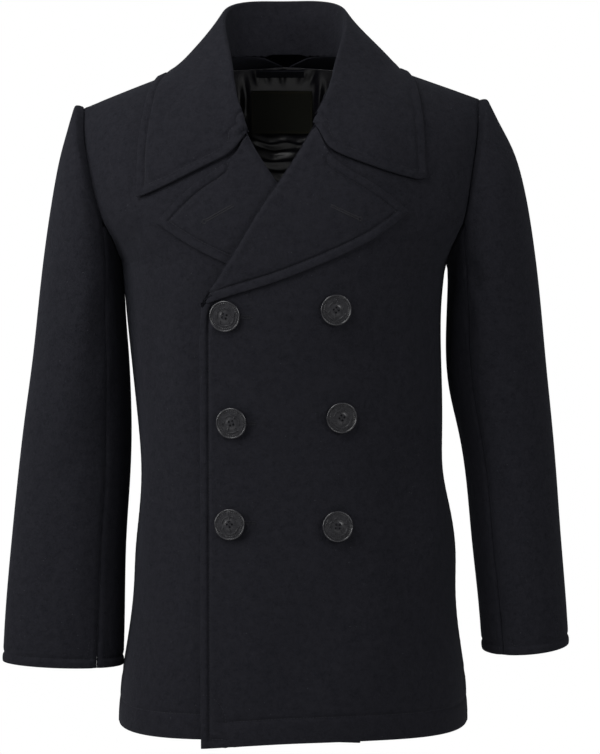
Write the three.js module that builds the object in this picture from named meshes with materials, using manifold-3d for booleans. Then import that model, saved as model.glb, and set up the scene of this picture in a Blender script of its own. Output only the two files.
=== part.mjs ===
// A double-breasted pea coat in heavy melton, worn on an unseen figure.
// Millimetres, +Z up, the front faces -Y and the wearer's left is +X.
// The origin is the middle of the neck, level with the seam between collar and shoulder.

import * as THREE from "three";
import { mergeVertices } from "three/addons/utils/BufferGeometryUtils.js";
import Module from "manifold-3d";

// Driving dimensions

const cloth = 2.6; // melton wall
const satin = 1.2; // lining wall
const seamGap = 0.3; // between pieces sewn edge to edge
const layerGap = 0.4; // between a piece and what lies on it
const overlapGap = 1.5; // between the two fronts, whose facets don't line up
const insideGap = 2.2; // between the back and its lining
const trimGap = 0.8; // between the lining and what is sewn on it
const armholeGap = 1.3;
const neckGap = 1.8; // from the body's neck edge up to the foot of the collar
const hemHeight = -755;
const underarmHeight = -236;
const ridgeHeight = 13; // shoulder ridge, read at the middle of the body
const roundness = 2.4; // body sections are superellipses with this exponent
const neckSoftness = 60; // rounds the shoulder ridge where it passes the middle
const breakHeight = -278; // where the lapels start to turn back
const weltWidth = 9.5; // stitched edge of fronts, lapels and collar
const hemDepth = 28;
const cuffDepth = 10.5;
const grooveWidth = 2.6;
const grooveDepth = 0.9;
const overlapEnd = 96; // the outer front lies over the under front up to here
const overlapFade = 150;
const outerDroop = 9.8; // the outer front's corner hangs this far below the hem
const underDroop = 3.3; // and the under front's corner this far
const leftShoulderRise = 0.07; // the left shoulder slopes less than the right by this share
const collarRoll = 4; // radius of the fold at the top of the collar
const foldClearance = 3; // the fold lies this far off the chest on its way down to the lapel
const buttonRadius = 17;
const buttonHoleCircle = 2.6; // from the button's middle to each of its four holes
const buttonHoleRadius = 1.1;
const labelCloth = 0.8;
const loopCloth = 1.5;
const liningDepth = 190; // the satin reaches this far down the back
const liningHalfWidth = 96;
const outerFrontEdge = -94; // front edge of the outer front, below the lapels
const underFrontEdge = 84; // front edge of the under front, measured the same way

// Body sections: half widths on the wearer's right and left, depths, and how far a section sags
// towards its sides. Above the underarm the widths run on past the armholes, which cut them.

const bodySections = [
  { level: -755, right: 194, left: 211, front: 150, back: 150, drop: 0.07 },
  { level: -700, right: 189, left: 207, front: 149, back: 148, drop: 0.06 },
  { level: -645, right: 179, left: 197, front: 146, back: 144, drop: 0.045 },
  { level: -605, right: 175, left: 194, front: 144, back: 142, drop: 0.03 },
  { level: -555, right: 176, left: 197, front: 141, back: 141, drop: 0.015 },
  { level: -510, right: 170, left: 188, front: 138, back: 138, drop: 0 },
  { level: -465, right: 168, left: 178, front: 136, back: 135, drop: 0 },
  { level: -415, right: 171, left: 181, front: 137, back: 135, drop: 0 },
  { level: -360, right: 175, left: 180, front: 140, back: 137, drop: 0 },
  { level: -300, right: 181, left: 179, front: 144, back: 142, drop: 0 },
  { level: -236, right: 187, left: 183, front: 147, back: 147, drop: 0 },
  { level: -211, right: 198, left: 193, front: 146, back: 148, drop: 0.012 },
  { level: -174, right: 221, left: 215, front: 141, back: 148, drop: 0.049 },
  { level: -111, right: 233, left: 221, front: 125, back: 139, drop: 0.138 },
  { level: -49, right: 236, left: 223, front: 98, back: 118, drop: 0.253 },
  { level: -20, right: 235, left: 222, front: 72, back: 95, drop: 0.314 },
  { level: 0, right: 234, left: 221, front: 46, back: 72, drop: 0.36 },
  { level: 9, right: 233, left: 221, front: 24, back: 42, drop: 0.381 },
  { level: 13, right: 233, left: 221, front: 0, back: 0, drop: 0.39 },
];

// Armhole: distance of its front and back edges from the side seam's plane.

const armhole = [
  { level: -236, front: 0, back: 0 },
  { level: -230, front: 24, back: 26 },
  { level: -211, front: 48, back: 54 },
  { level: -174, front: 63, back: 76 },
  { level: -111, front: 53, back: 68 },
  { level: -49, front: 33, back: 46 },
  { level: -12, front: 17, back: 26 },
  { level: 5, front: 8, back: 12 },
  { level: 13, front: 0, back: 0 },
];

// Inner boundary of each front, measured towards its own side from the middle:
// front edge, then the line where the lapel rolls back, then the neck seam.

const outerFrontStart = [
  { height: -800, x: -94 },
  { height: -330, x: -94 },
  { height: -276, x: -92 },
  { height: -254, x: -78 },
  { height: -231, x: -65 },
  { height: -198, x: -45 },
  { height: -172, x: -30 },
  { height: -149, x: -14 },
  { height: -122, x: 6 },
  { height: -98, x: 20 },
  { height: -75, x: 33 },
  { height: -50, x: 46 },
  { height: -22, x: 60 },
  { height: 0, x: 72 },
];

const underFrontStart = [
  { height: -800, x: -82 },
  { height: -330, x: -84 },
  { height: -280, x: -86 },
  { height: -254, x: -69 },
  { height: -231, x: -55 },
  { height: -198, x: -33 },
  { height: -172, x: -14 },
  { height: -149, x: 3 },
  { height: -118, x: 26 },
  { height: -86, x: 44 },
  { height: -60, x: 53 },
  { height: -30, x: 63 },
  { height: 0, x: 72 },
];

const backStart = [
  { level: -800, x: 0 },
  { level: 1, x: 0 },
  { level: 2, x: 14 },
  { level: 4.5, x: 36 },
  { level: 8, x: 55 },
  { level: 11, x: 67 },
  { level: 13, x: 72 },
];

// Lapel outlines as seen from the front, measured towards their own side.

const outerLapel = {
  roll: [
    { x: -92, z: -272 },
    { x: -65, z: -231 },
    { x: -30, z: -172 },
    { x: 6, z: -122 },
    { x: 32, z: -77 },
  ],
  lower: [
    { x: -92, z: -277 },
    { x: -64, z: -265 },
    { x: -18, z: -251 },
    { x: 22, z: -236 },
    { x: 62, z: -219 },
    { x: 95, z: -202 },
    { x: 134, z: -174 },
  ],
  gorge: [
    { x: 32, z: -77 },
    { x: 45, z: -111 },
  ],
  upper: [
    { x: 45, z: -111 },
    { x: 62, z: -127 },
    { x: 96, z: -145 },
    { x: 134, z: -174 },
  ],
};

const underLapel = {
  roll: [
    { x: -86, z: -278 },
    { x: -55, z: -231 },
    { x: -14, z: -172 },
    { x: 26, z: -118 },
    { x: 44, z: -86 },
  ],
  lower: [
    { x: -86, z: -283 },
    { x: -40, z: -268 },
    { x: 20, z: -247 },
    { x: 68, z: -228 },
    { x: 105, z: -210 },
    { x: 142, z: -185 },
  ],
  gorge: [
    { x: 44, z: -86 },
    { x: 55, z: -111 },
  ],
  upper: [
    { x: 55, z: -111 },
    { x: 78, z: -129 },
    { x: 105, z: -145 },
    { x: 142, z: -185 },
  ],
};

// Collar: its fold line, and the outer edge of its fall, from the middle of the back (turn 0)
// to the end on the chest (turn 1). The last edge row is the collar's corner.

const leftCollarFold = [
  { turn: 0, x: 0, y: 84, z: 67 },
  { turn: 0.14, x: 30, y: 80, z: 67 },
  { turn: 0.26, x: 53, y: 65, z: 64 },
  { turn: 0.38, x: 66, y: 40, z: 56 },
  { turn: 0.48, x: 68, y: 12, z: 43 },
  { turn: 0.6, x: 64, y: -20, z: 24 },
  { turn: 0.72, x: 55.5, y: -54, z: -4 },
  { turn: 0.86, x: 43.6, y: -90, z: -42 },
];

const rightCollarFold = [
  { turn: 0, x: 0, y: 84, z: 67 },
  { turn: 0.14, x: 30, y: 80, z: 67 },
  { turn: 0.26, x: 53, y: 65, z: 64 },
  { turn: 0.38, x: 68, y: 40, z: 56 },
  { turn: 0.48, x: 71, y: 12, z: 43 },
  { turn: 0.6, x: 67, y: -20, z: 24 },
  { turn: 0.72, x: 60.5, y: -54, z: -4 },
  { turn: 0.86, x: 52.8, y: -90, z: -44 },
];

const leftCollarEdge = [
  { turn: 0, x: 0, y: 126, z: -34 },
  { turn: 0.14, x: 44, y: 124, z: -35 },
  { turn: 0.26, x: 84, y: 109, z: -34 },
  { turn: 0.38, x: 115, y: 77, z: -29 },
  { turn: 0.48, x: 128, y: 36, z: -21 },
  { turn: 0.56, x: 134, y: 4, z: -16 },
  { turn: 0.66, x: 141, y: -36, z: -37 },
  { turn: 0.76, x: 147, y: -68, z: -65 },
  { turn: 0.88, x: 151, y: -92, z: -103 },
  { turn: 1, x: 155, y: -104, z: -138 },
];

const rightCollarEdge = [
  { turn: 0, x: 0, y: 126, z: -34 },
  { turn: 0.14, x: 44, y: 124, z: -35 },
  { turn: 0.26, x: 84, y: 108, z: -36 },
  { turn: 0.38, x: 116, y: 76, z: -34 },
  { turn: 0.48, x: 131, y: 36, z: -27 },
  { turn: 0.56, x: 138, y: 4, z: -23 },
  { turn: 0.66, x: 147, y: -36, z: -46 },
  { turn: 0.76, x: 154, y: -68, z: -77 },
  { turn: 0.88, x: 161, y: -92, z: -120 },
  { turn: 1, x: 164, y: -104, z: -160 },
];

// How far the collar's fall stands out between its fold and its edge.

const fallBulge = [
  { turn: 0, left: -7, right: -7 },
  { turn: 0.3, left: -3, right: -3 },
  { turn: 0.45, left: 6, right: 3 },
  { turn: 0.6, left: 6, right: 3 },
  { turn: 0.8, left: 0, right: 0 },
  { turn: 1, left: 0, right: 0 },
];

const leftCollarEnd = [
  { x: 45, z: -110 },
  { x: 77, z: -121 },
  { x: 104, z: -131 },
  { x: 138, z: -140 },
  { x: 155, z: -138 },
];

const rightCollarEnd = [
  { x: 55, z: -110 },
  { x: 94, z: -127 },
  { x: 121, z: -142 },
  { x: 150, z: -156 },
  { x: 164, z: -160 },
];

// Sleeves: outer and inner edges as seen from the front, depths, and the middle's place in depth.

const rightSleeve = [
  { row: 0, outerX: 234, outerZ: -57, innerX: 187, innerZ: -238, depth: 70, middle: 6 },
  { row: 1, outerX: 243, outerZ: -59, innerX: 188, innerZ: -242, depth: 76, middle: 6 },
  { row: 2, outerX: 251, outerZ: -80, innerX: 188, innerZ: -250, depth: 80, middle: 6 },
  { row: 3, outerX: 263, outerZ: -126, innerX: 187, innerZ: -266, depth: 83, middle: 5 },
  { row: 4, outerX: 270, outerZ: -174, innerX: 186, innerZ: -286, depth: 83, middle: 5 },
  { row: 5, outerX: 276, outerZ: -220, innerX: 185, innerZ: -308, depth: 81, middle: 5 },
  { row: 6, outerX: 283, outerZ: -275, innerX: 182, innerZ: -340, depth: 78, middle: 6 },
  { row: 7, outerX: 292, outerZ: -345, innerX: 179, innerZ: -386, depth: 72, middle: 7 },
  { row: 8, outerX: 303, outerZ: -412, innerX: 176, innerZ: -436, depth: 66, middle: 7 },
  { row: 9, outerX: 310.5, outerZ: -480, innerX: 177, innerZ: -492, depth: 58, middle: 3 },
  { row: 10, outerX: 317, outerZ: -548, innerX: 183, innerZ: -555, depth: 50, middle: -3 },
  { row: 11, outerX: 324, outerZ: -623, innerX: 186, innerZ: -627, depth: 43, middle: -12 },
  { row: 12, outerX: 328, outerZ: -693, innerX: 188, innerZ: -697, depth: 38, middle: -20 },
];

const leftSleeve = [
  { row: 0, outerX: 222, outerZ: -54, innerX: 183, innerZ: -238, depth: 70, middle: 6 },
  { row: 1, outerX: 231, outerZ: -55, innerX: 184, innerZ: -242, depth: 76, middle: 6 },
  { row: 2, outerX: 243, outerZ: -76, innerX: 185, innerZ: -250, depth: 80, middle: 6 },
  { row: 3, outerX: 265.5, outerZ: -117, innerX: 185, innerZ: -264, depth: 82, middle: 5 },
  { row: 4, outerX: 276.5, outerZ: -160, innerX: 184, innerZ: -282, depth: 82, middle: 5 },
  { row: 5, outerX: 284, outerZ: -209, innerX: 183, innerZ: -304, depth: 80, middle: 5 },
  { row: 6, outerX: 292, outerZ: -270, innerX: 182, innerZ: -336, depth: 77, middle: 6 },
  { row: 7, outerX: 301, outerZ: -345, innerX: 185, innerZ: -382, depth: 73, middle: 7 },
  { row: 8, outerX: 308.5, outerZ: -414, innerX: 199, innerZ: -432, depth: 70, middle: 6 },
  { row: 9, outerX: 313, outerZ: -480, innerX: 208, innerZ: -488, depth: 67, middle: 0 },
  { row: 10, outerX: 316, outerZ: -545, innerX: 214, innerZ: -551, depth: 63, middle: -8 },
  { row: 11, outerX: 321, outerZ: -610, innerX: 222, innerZ: -616, depth: 60, middle: -18 },
  { row: 12, outerX: 325, outerZ: -671, innerX: 225, innerZ: -679, depth: 57, middle: -26 },
];

const gatherEnd = 3.5; // the sleeve takes the armhole's shape from here up
const frontSleeveSeam = 2.2; // radians round the sleeve from its outer edge, over the front
const backSleeveSeam = -2.0;

// Buttons: where each lies as seen from the front, how far it is turned in its stitching,
// and how far it stands off the true curve of the front, whose facets lie a little inside it.

const buttons = [
  { name: "button_right_top", x: -65, z: -286, spin: 0.5, stand: 0 },
  { name: "button_right_middle", x: -59, z: -405, spin: -0.5, stand: 0.2 },
  { name: "button_right_bottom", x: -61, z: -518, spin: 0.1, stand: 0 },
  { name: "button_left_top", x: 53, z: -279, spin: -0.15, stand: 0 },
  { name: "button_left_middle", x: 60, z: -399, spin: 0.2, stand: 0.4 },
  { name: "button_left_bottom", x: 56, z: -520, spin: 0.7, stand: 0 },
];

const melton = { color: 0x1b1c24, roughness: 0.95, metalness: 0 };
const satinCloth = { color: 0x0d0d12, roughness: 0.4, metalness: 0 };
const labelWeave = { color: 0x15150c, roughness: 0.6, metalness: 0 };
const buttonPlastic = { color: 0x303035, roughness: 0.35, metalness: 0 };

// Small tools

const point = (x, y, z) => new THREE.Vector3(x, y, z);
const mix = (a, b, share) => a + (b - a) * share;
const clamp01 = (value) => Math.min(1, Math.max(0, value));
const spaced = (count, from, to) => Array.from({ length: count }, (_, i) => mix(from, to, i / (count - 1)));

function ease(from, to, value) {
  const share = clamp01((value - from) / (to - from));
  return share * share * (3 - 2 * share);
}

// Reads a column of a table at a value of its first column, as a smooth curve without overshoot.
function read(table, column, at) {
  const key = Object.keys(table[0])[0];
  const last = table.length - 1;
  if (at <= table[0][key]) return table[0][column];
  if (at >= table[last][key]) return table[last][column];
  const slope = (i) => (table[i + 1][column] - table[i][column]) / (table[i + 1][key] - table[i][key]);
  const tangent = (i) => {
    if (i === 0) return slope(0);
    if (i === last) return slope(last - 1);
    const before = slope(i - 1);
    const after = slope(i);
    return before * after <= 0 ? 0 : (2 * before * after) / (before + after);
  };
  const k = table.findIndex((row) => row[key] > at) - 1;
  const step = table[k + 1][key] - table[k][key];
  const s = (at - table[k][key]) / step;
  const startPart = (1 + 2 * s) * (1 - s) ** 2 * table[k][column] + s * (1 - s) ** 2 * step * tangent(k);
  const endPart = s * s * (3 - 2 * s) * table[k + 1][column] + s * s * (s - 1) * step * tangent(k + 1);
  return startPart + endPart;
}

// The point at a share of a path's length.
function along(path, share) {
  const steps = path.slice(1).map((p, i) => p.distanceTo(path[i]));
  const total = steps.reduce((sum, step) => sum + step, 0);
  let left = clamp01(share) * total;
  let i = 0;
  while (i < steps.length - 1 && left > steps[i]) {
    left -= steps[i];
    i += 1;
  }
  return path[i].clone().lerp(path[i + 1], steps[i] ? left / steps[i] : 0);
}

const pathLength = (path) => path.slice(1).reduce((sum, p, i) => sum + p.distanceTo(path[i]), 0);

const smoothPath = (rows) =>
  new THREE.CatmullRomCurve3(rows.map((r) => point(r.x, 0, r.z)), false, "centripetal").getSpacedPoints(40);

// Unit normals of a grid of points. A border named in flat loses its part along that axis,
// so that two pieces that meet there end in one plane.
function gridNormals(grid, flat = {}) {
  const rows = grid.length - 1;
  const columns = grid[0].length - 1;
  return grid.map((line, i) =>
    line.map((_, j) => {
      const up = grid[Math.min(i + 1, rows)][j].clone().sub(grid[Math.max(i - 1, 0)][j]);
      const across = grid[i][Math.min(j + 1, columns)].clone().sub(grid[i][Math.max(j - 1, 0)]);
      const normal = across.cross(up);
      if (j === 0 && flat.first) normal[flat.first] = 0;
      if (j === columns && flat.last) normal[flat.last] = 0;
      if (i === rows && flat.top) normal[flat.top] = 0;
      return normal.normalize();
    }),
  );
}

const shifted = (grid, normals, distance) =>
  grid.map((line, i) => line.map((p, j) => p.clone().addScaledVector(normals[i][j], distance(i, j))));

// A closed wall between two grids of points. Its outer face looks along the grid's normals.
function wall(outer, inner) {
  const rows = outer.length;
  const columns = outer[0].length;
  const positions = [];
  [...outer, ...inner].forEach((line) => line.forEach((p) => positions.push(p.x, p.y, p.z)));
  const out = (i, j) => i * columns + j;
  const back = (i, j) => rows * columns + i * columns + j;
  const index = [];
  const quad = (a, b, c, d) => index.push(a, b, c, a, c, d);
  for (let i = 0; i < rows - 1; i += 1) {
    for (let j = 0; j < columns - 1; j += 1) {
      quad(out(i, j), out(i, j + 1), out(i + 1, j + 1), out(i + 1, j));
      quad(back(i, j), back(i + 1, j), back(i + 1, j + 1), back(i, j + 1));
    }
  }
  for (let j = 0; j < columns - 1; j += 1) {
    quad(out(0, j), back(0, j), back(0, j + 1), out(0, j + 1));
    quad(out(rows - 1, j), out(rows - 1, j + 1), back(rows - 1, j + 1), back(rows - 1, j));
  }
  for (let i = 0; i < rows - 1; i += 1) {
    quad(out(i, 0), out(i + 1, 0), back(i + 1, 0), back(i, 0));
    quad(out(i, columns - 1), back(i, columns - 1), back(i + 1, columns - 1), out(i + 1, columns - 1));
  }
  const geometry = new THREE.BufferGeometry();
  geometry.setAttribute("position", new THREE.Float32BufferAttribute(positions, 3));
  geometry.setIndex(index);
  return geometry;
}

// Grids run so that their normals point out; on the other side of the body that means the other way round.
const turned = (grid, side) => (side > 0 ? grid : grid.map((line) => [...line].reverse()));

const root = new THREE.Group();

function addPiece(name, geometry, look) {
  geometry.computeVertexNormals();
  const mesh = new THREE.Mesh(geometry, new THREE.MeshStandardMaterial(look));
  mesh.name = name;
  root.add(mesh);
}

// Body surface

function sag(x) {
  const slope = 1 - leftShoulderRise * ease(40, 160, x);
  return slope * (Math.hypot(x, neckSoftness) - neckSoftness);
}

function sectionAt(level) {
  const columns = ["right", "left", "front", "back", "drop"];
  return Object.fromEntries(columns.map((column) => [column, read(bodySections, column, level)]));
}

const angleOf = (share) => Math.asin(Math.min(1, Math.abs(share)) ** (roundness / 2)) * Math.sign(share);

function bodyPoint(level, section, angle, face) {
  const width = angle < 0 ? section.right : section.left;
  const x = Math.sign(angle) * width * Math.abs(Math.sin(angle)) ** (2 / roundness);
  const depth = section[face] * Math.abs(Math.cos(angle)) ** (2 / roundness);
  return point(x, face === "front" ? -depth : depth, level - section.drop * sag(x));
}

// One row of a panel, from a place near the middle to the side seam or the armhole.
function bodyRow(level, face, side, start) {
  const section = sectionAt(level);
  const width = (x) => (x < 0 ? section.right : section.left);
  const from = angleOf(start / width(start));
  let to = Math.PI / 2;
  if (level > underarmHeight && section[face] > 0) {
    const reach = Math.min(1, read(armhole, face, level) / section[face]);
    to = Math.acos(reach ** (roundness / 2));
  }
  const sign = face === "front" ? -1 : 1;
  return spaced(61, from, side * to).map((angle) => {
    const p = bodyPoint(level, section, angle, face);
    p.y = sign * Math.max(seamGap / 2, sign * p.y);
    return p;
  });
}

// The level whose section passes through a place, and the body's front or back there.
function levelThrough(x, z) {
  let low = hemHeight - 20;
  let high = ridgeHeight;
  for (let i = 0; i < 40; i += 1) {
    const level = (low + high) / 2;
    if (level - read(bodySections, "drop", level) * sag(x) < z) low = level;
    else high = level;
  }
  return (low + high) / 2;
}

function depthAt(x, z, face) {
  const level = levelThrough(x, z);
  const width = read(bodySections, x < 0 ? "right" : "left", level);
  const share = Math.max(0, 1 - Math.min(1, Math.abs(x) / width) ** roundness);
  return read(bodySections, face, level) * share ** (1 / roundness);
}

function frontFrame(x, z) {
  const step = 2;
  const slopeX = (depthAt(x - step, z, "front") - depthAt(x + step, z, "front")) / (2 * step);
  const slopeZ = (depthAt(x, z - step, "front") - depthAt(x, z + step, "front")) / (2 * step);
  return { place: point(x, -depthAt(x, z, "front"), z), normal: point(slopeX, -1, slopeZ).normalize() };
}

// How far forward a place lies that is a distance off the front, measured square to it.
function forwardOf(x, z, distance) {
  const frame = frontFrame(x, z);
  return -frame.place.y - distance / Math.min(-0.3, frame.normal.y);
}

// How far the outer front lies off the body: over the under front, and over its lapel too.
function overlapLift(x, height) {
  const oneLayer = cloth + overlapGap;
  const lapelPart = ease(-335, -292, height) * (1 - ease(-120, -60, height));
  const neckPart = 1 - 0.7 * ease(-110, -40, height);
  return oneLayer * (neckPart + lapelPart) * (1 - ease(overlapEnd, overlapFade, x));
}

// Fronts and backs

const bodyLevels = [
  hemHeight,
  hemHeight + hemDepth - grooveWidth / 2,
  hemHeight + hemDepth,
  hemHeight + hemDepth + grooveWidth / 2,
  ...spaced(10, -695, -300),
  -268,
  underarmHeight,
  -230,
  -218,
  -198,
  -174,
  -143,
  -111,
  -80,
  -49,
  -25,
  -8,
  4,
  10,
  ridgeHeight,
];
const hemGrooveRow = 2;

function startingPlace(table, level, side) {
  const drop = read(bodySections, "drop", level);
  let x = 0;
  for (let i = 0; i < 30; i += 1) x = read(table, "x", level - drop * sag(x));
  return side * (x + seamGap / 2);
}

const edgeStops = [0, weltWidth - grooveWidth / 2, weltWidth, weltWidth + grooveWidth / 2];

function frontPanel(side, starts, lift, droop) {
  const plain = bodyLevels.map((level) => {
    const row = bodyRow(level, "front", side, startingPlace(starts, level, side));
    const length = pathLength(row);
    const stops = [...edgeStops, ...spaced(10, 0, 1).slice(1).map((s) => mix(edgeStops[3], length, s))];
    return stops.map((stop) => along(row, stop / length));
  });
  const isGroove = (i, j) => i === hemGrooveRow || (j === 2 && bodyLevels[i] < breakHeight);
  const columns = plain[0].length - 1;
  const grid = turned(plain, side);
  const column = (j) => (side > 0 ? j : columns - j);
  const flat = side > 0 ? { last: "y", top: "y" } : { first: "y", top: "y" };
  const normals = gridNormals(grid, flat);
  const base = shifted(grid, normals, (i, j) => lift(grid[i][j].x, grid[i][j].z));
  base.forEach((line) => line.forEach((p) => (p.z -= droop(p))));
  const outer = shifted(base, normals, (i, j) => (isGroove(i, column(j)) ? -grooveDepth : 0));
  const inner = shifted(base, normals, () => -cloth);
  return wall(outer, inner);
}

function backPanel(side) {
  const plain = bodyLevels.map((level) => {
    const row = bodyRow(level, "back", side, side * Math.max(seamGap / 2, read(backStart, "x", level)));
    return spaced(9, 0, 1).map((stop) => along(row, stop));
  });
  const grid = turned(plain, -side);
  const flat = side > 0 ? { first: "y", last: "x", top: "y" } : { first: "x", last: "y", top: "y" };
  const normals = gridNormals(grid, flat);
  const outer = shifted(grid, normals, (i) => (i === hemGrooveRow ? -grooveDepth : 0));
  return wall(outer, shifted(grid, normals, () => -cloth));
}

// The fronts' corners hang a little: the outer one most at its edge, the under one at its own.
const nearHem = (z) => 1 - ease(-750, -500, z);
const shareBetween = (from, to, value) => clamp01((value - from) / (to - from));
const outerSlope = (p) => outerDroop * shareBetween(overlapEnd, outerFrontEdge, p.x) * nearHem(p.z);
const underSlope = (p) => underDroop * shareBetween(outerFrontEdge, underFrontEdge, p.x) * nearHem(p.z);

addPiece("left_front", frontPanel(1, outerFrontStart, overlapLift, outerSlope), melton);
addPiece("right_front", frontPanel(-1, underFrontStart, () => 0, underSlope), melton);
addPiece("left_back", backPanel(1), melton);
addPiece("right_back", backPanel(-1), melton);

// Lapels: a patch between the roll line and the outer edge, laid on the front and turned round the roll

const lapelLength = 190; // along the roll, for the rows beside the upper edge
const lapelColumns = [0.01, 0.13, 0.26, 0.44, 0.62, 0.8]; // shares of the way from roll to welt
const notchColumn = 2; // this column runs into the corner between gorge and upper edge

function lapel(side, outline, lift) {
  const roll = smoothPath(outline.roll);
  const lower = smoothPath(outline.lower);
  const gorge = outline.gorge.map((r) => point(r.x, 0, r.z));
  const upper = outline.upper.map((r) => point(r.x, 0, r.z));
  const top = [...gorge, ...upper.slice(1)];
  const notch = pathLength(gorge) / pathLength(top);
  const tip = upper[upper.length - 1];
  const patch = (u, v) => {
    const rollPoint = along(roll, u);
    const p = rollPoint.clone().lerp(along(lower, u), v);
    const straightTop = roll[roll.length - 1].clone().lerp(tip, v);
    return p.add(along(top, v).sub(straightTop).multiplyScalar(u ** 3));
  };
  const weltRow = (distance) => 1 - distance / lapelLength;
  const rows = [...spaced(10, 0, 0.9), ...edgeStops.map(weltRow).reverse()];
  const grooveRow = rows.length - 3;
  const grooveColumn = lapelColumns.length + 1;
  const arcs = spaced(5, 0, Math.PI);
  const outer = [];
  const inner = [];
  rows.forEach((u, i) => {
    const rollPoint = along(roll, u);
    const length = rollPoint.distanceTo(along(lower, u));
    const weltShare = (stop) => Math.min(stop / length, (0.5 * stop) / edgeStops[3]);
    const edge = edgeStops.map((stop) => 1 - weltShare(stop)).reverse();
    const shares = [...lapelColumns.map((s) => s * edge[0]), ...edge];
    const atNotch = shares.map((s, j) => (j === notchColumn ? mix(s, notch, u ** 3) : s));
    const frame = frontFrame(side * rollPoint.x, rollPoint.z);
    const off = lift(side * rollPoint.x, rollPoint.z);
    const low = off - cloth;
    const high = off + layerGap + cloth;
    const before = along(roll, u - 0.02);
    const after = along(roll, u + 0.02);
    const tangent = point(side * (after.x - before.x), 0, after.z - before.z);
    const inward = tangent.cross(frame.normal).normalize().multiplyScalar(side);
    const start = frame.place.clone().addScaledVector(inward, seamGap / 2);
    const ring = (radius, angle) =>
      start
        .clone()
        .addScaledVector(frame.normal, (low + high) / 2 - radius * Math.cos(angle))
        .addScaledVector(inward, radius * Math.sin(angle));
    const outerLine = arcs.map((angle) => ring((high - low) / 2, angle));
    const innerLine = arcs.map((angle) => ring((high - low) / 2 - cloth, angle));
    atNotch.forEach((v, j) => {
      const flatPoint = patch(u, v);
      const seat = frontFrame(side * flatPoint.x, flatPoint.z);
      const rise = lift(side * flatPoint.x, flatPoint.z) + layerGap + cloth;
      const isWelt = j === grooveColumn || (i === grooveRow && j > notchColumn && j <= grooveColumn);
      const sunk = isWelt ? grooveDepth : 0;
      outerLine.push(seat.place.clone().addScaledVector(seat.normal, rise - sunk));
      innerLine.push(seat.place.clone().addScaledVector(seat.normal, rise - cloth));
    });
    outer.push(outerLine);
    inner.push(innerLine);
  });
  return wall(turned(outer, side), turned(inner, side));
}

addPiece("left_lapel", lapel(1, outerLapel, overlapLift), melton);
addPiece("right_lapel", lapel(-1, underLapel, () => 0), melton);

// Collar: from the neck seam up the stand, over the fold and down the fall

function isInBody(p, lift) {
  const level = levelThrough(p.x, p.z);
  if (level >= ridgeHeight - 0.01) return false;
  const depth = p.y < 0 ? forwardOf(p.x, p.z, lift(p.x, p.z)) : depthAt(p.x, p.z, "back");
  return Math.abs(p.y) < depth;
}

// Moves a point along a direction until it lies clear of the body by a distance.
function clearOf(p, direction, distance, lift) {
  const step = 0.25;
  const furthest = 60;
  const probe = p.clone().addScaledVector(direction, -distance);
  let moved = 0;
  while (moved < furthest && isInBody(probe, lift)) {
    probe.addScaledVector(direction, step);
    moved += step;
  }
  return p.clone().addScaledVector(direction, moved);
}

function neckSeam(side, turn) {
  const backShare = 0.5;
  if (turn < backShare) {
    const level = mix(1.2, ridgeHeight, (turn / backShare) ** 2);
    const x = turn === 0 ? 0 : read(backStart, "x", level) * Math.min(1, turn / 0.1);
    const z = level - read(bodySections, "drop", level) * sag(x);
    return point(side * x, depthAt(side * x, z, "back"), z);
  }
  const starts = side > 0 ? outerFrontStart : underFrontStart;
  const end = side > 0 ? outerLapel.roll[4].z : underLapel.roll[4].z;
  const z = mix(0, end, (turn - backShare) / (1 - backShare));
  const x = side * read(starts, "x", z);
  const seat = frontFrame(x, z);
  return seat.place.addScaledVector(seat.normal, side > 0 ? overlapLift(x, z) : 0);
}

const gorgeRise = 1.6; // the collar's end stands this far above the lapel's gorge
const endFoldSeat = { x: -4.4, y: 2.6, z: 2.4 }; // its fold there, from the top of the roll
const endSeat = { x: 1.1, z: 0.6 }; // its end edge, from the lapel's
const fallClearance = { end: 4.4, side: 6.8 }; // between the fall's middle and the body

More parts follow.
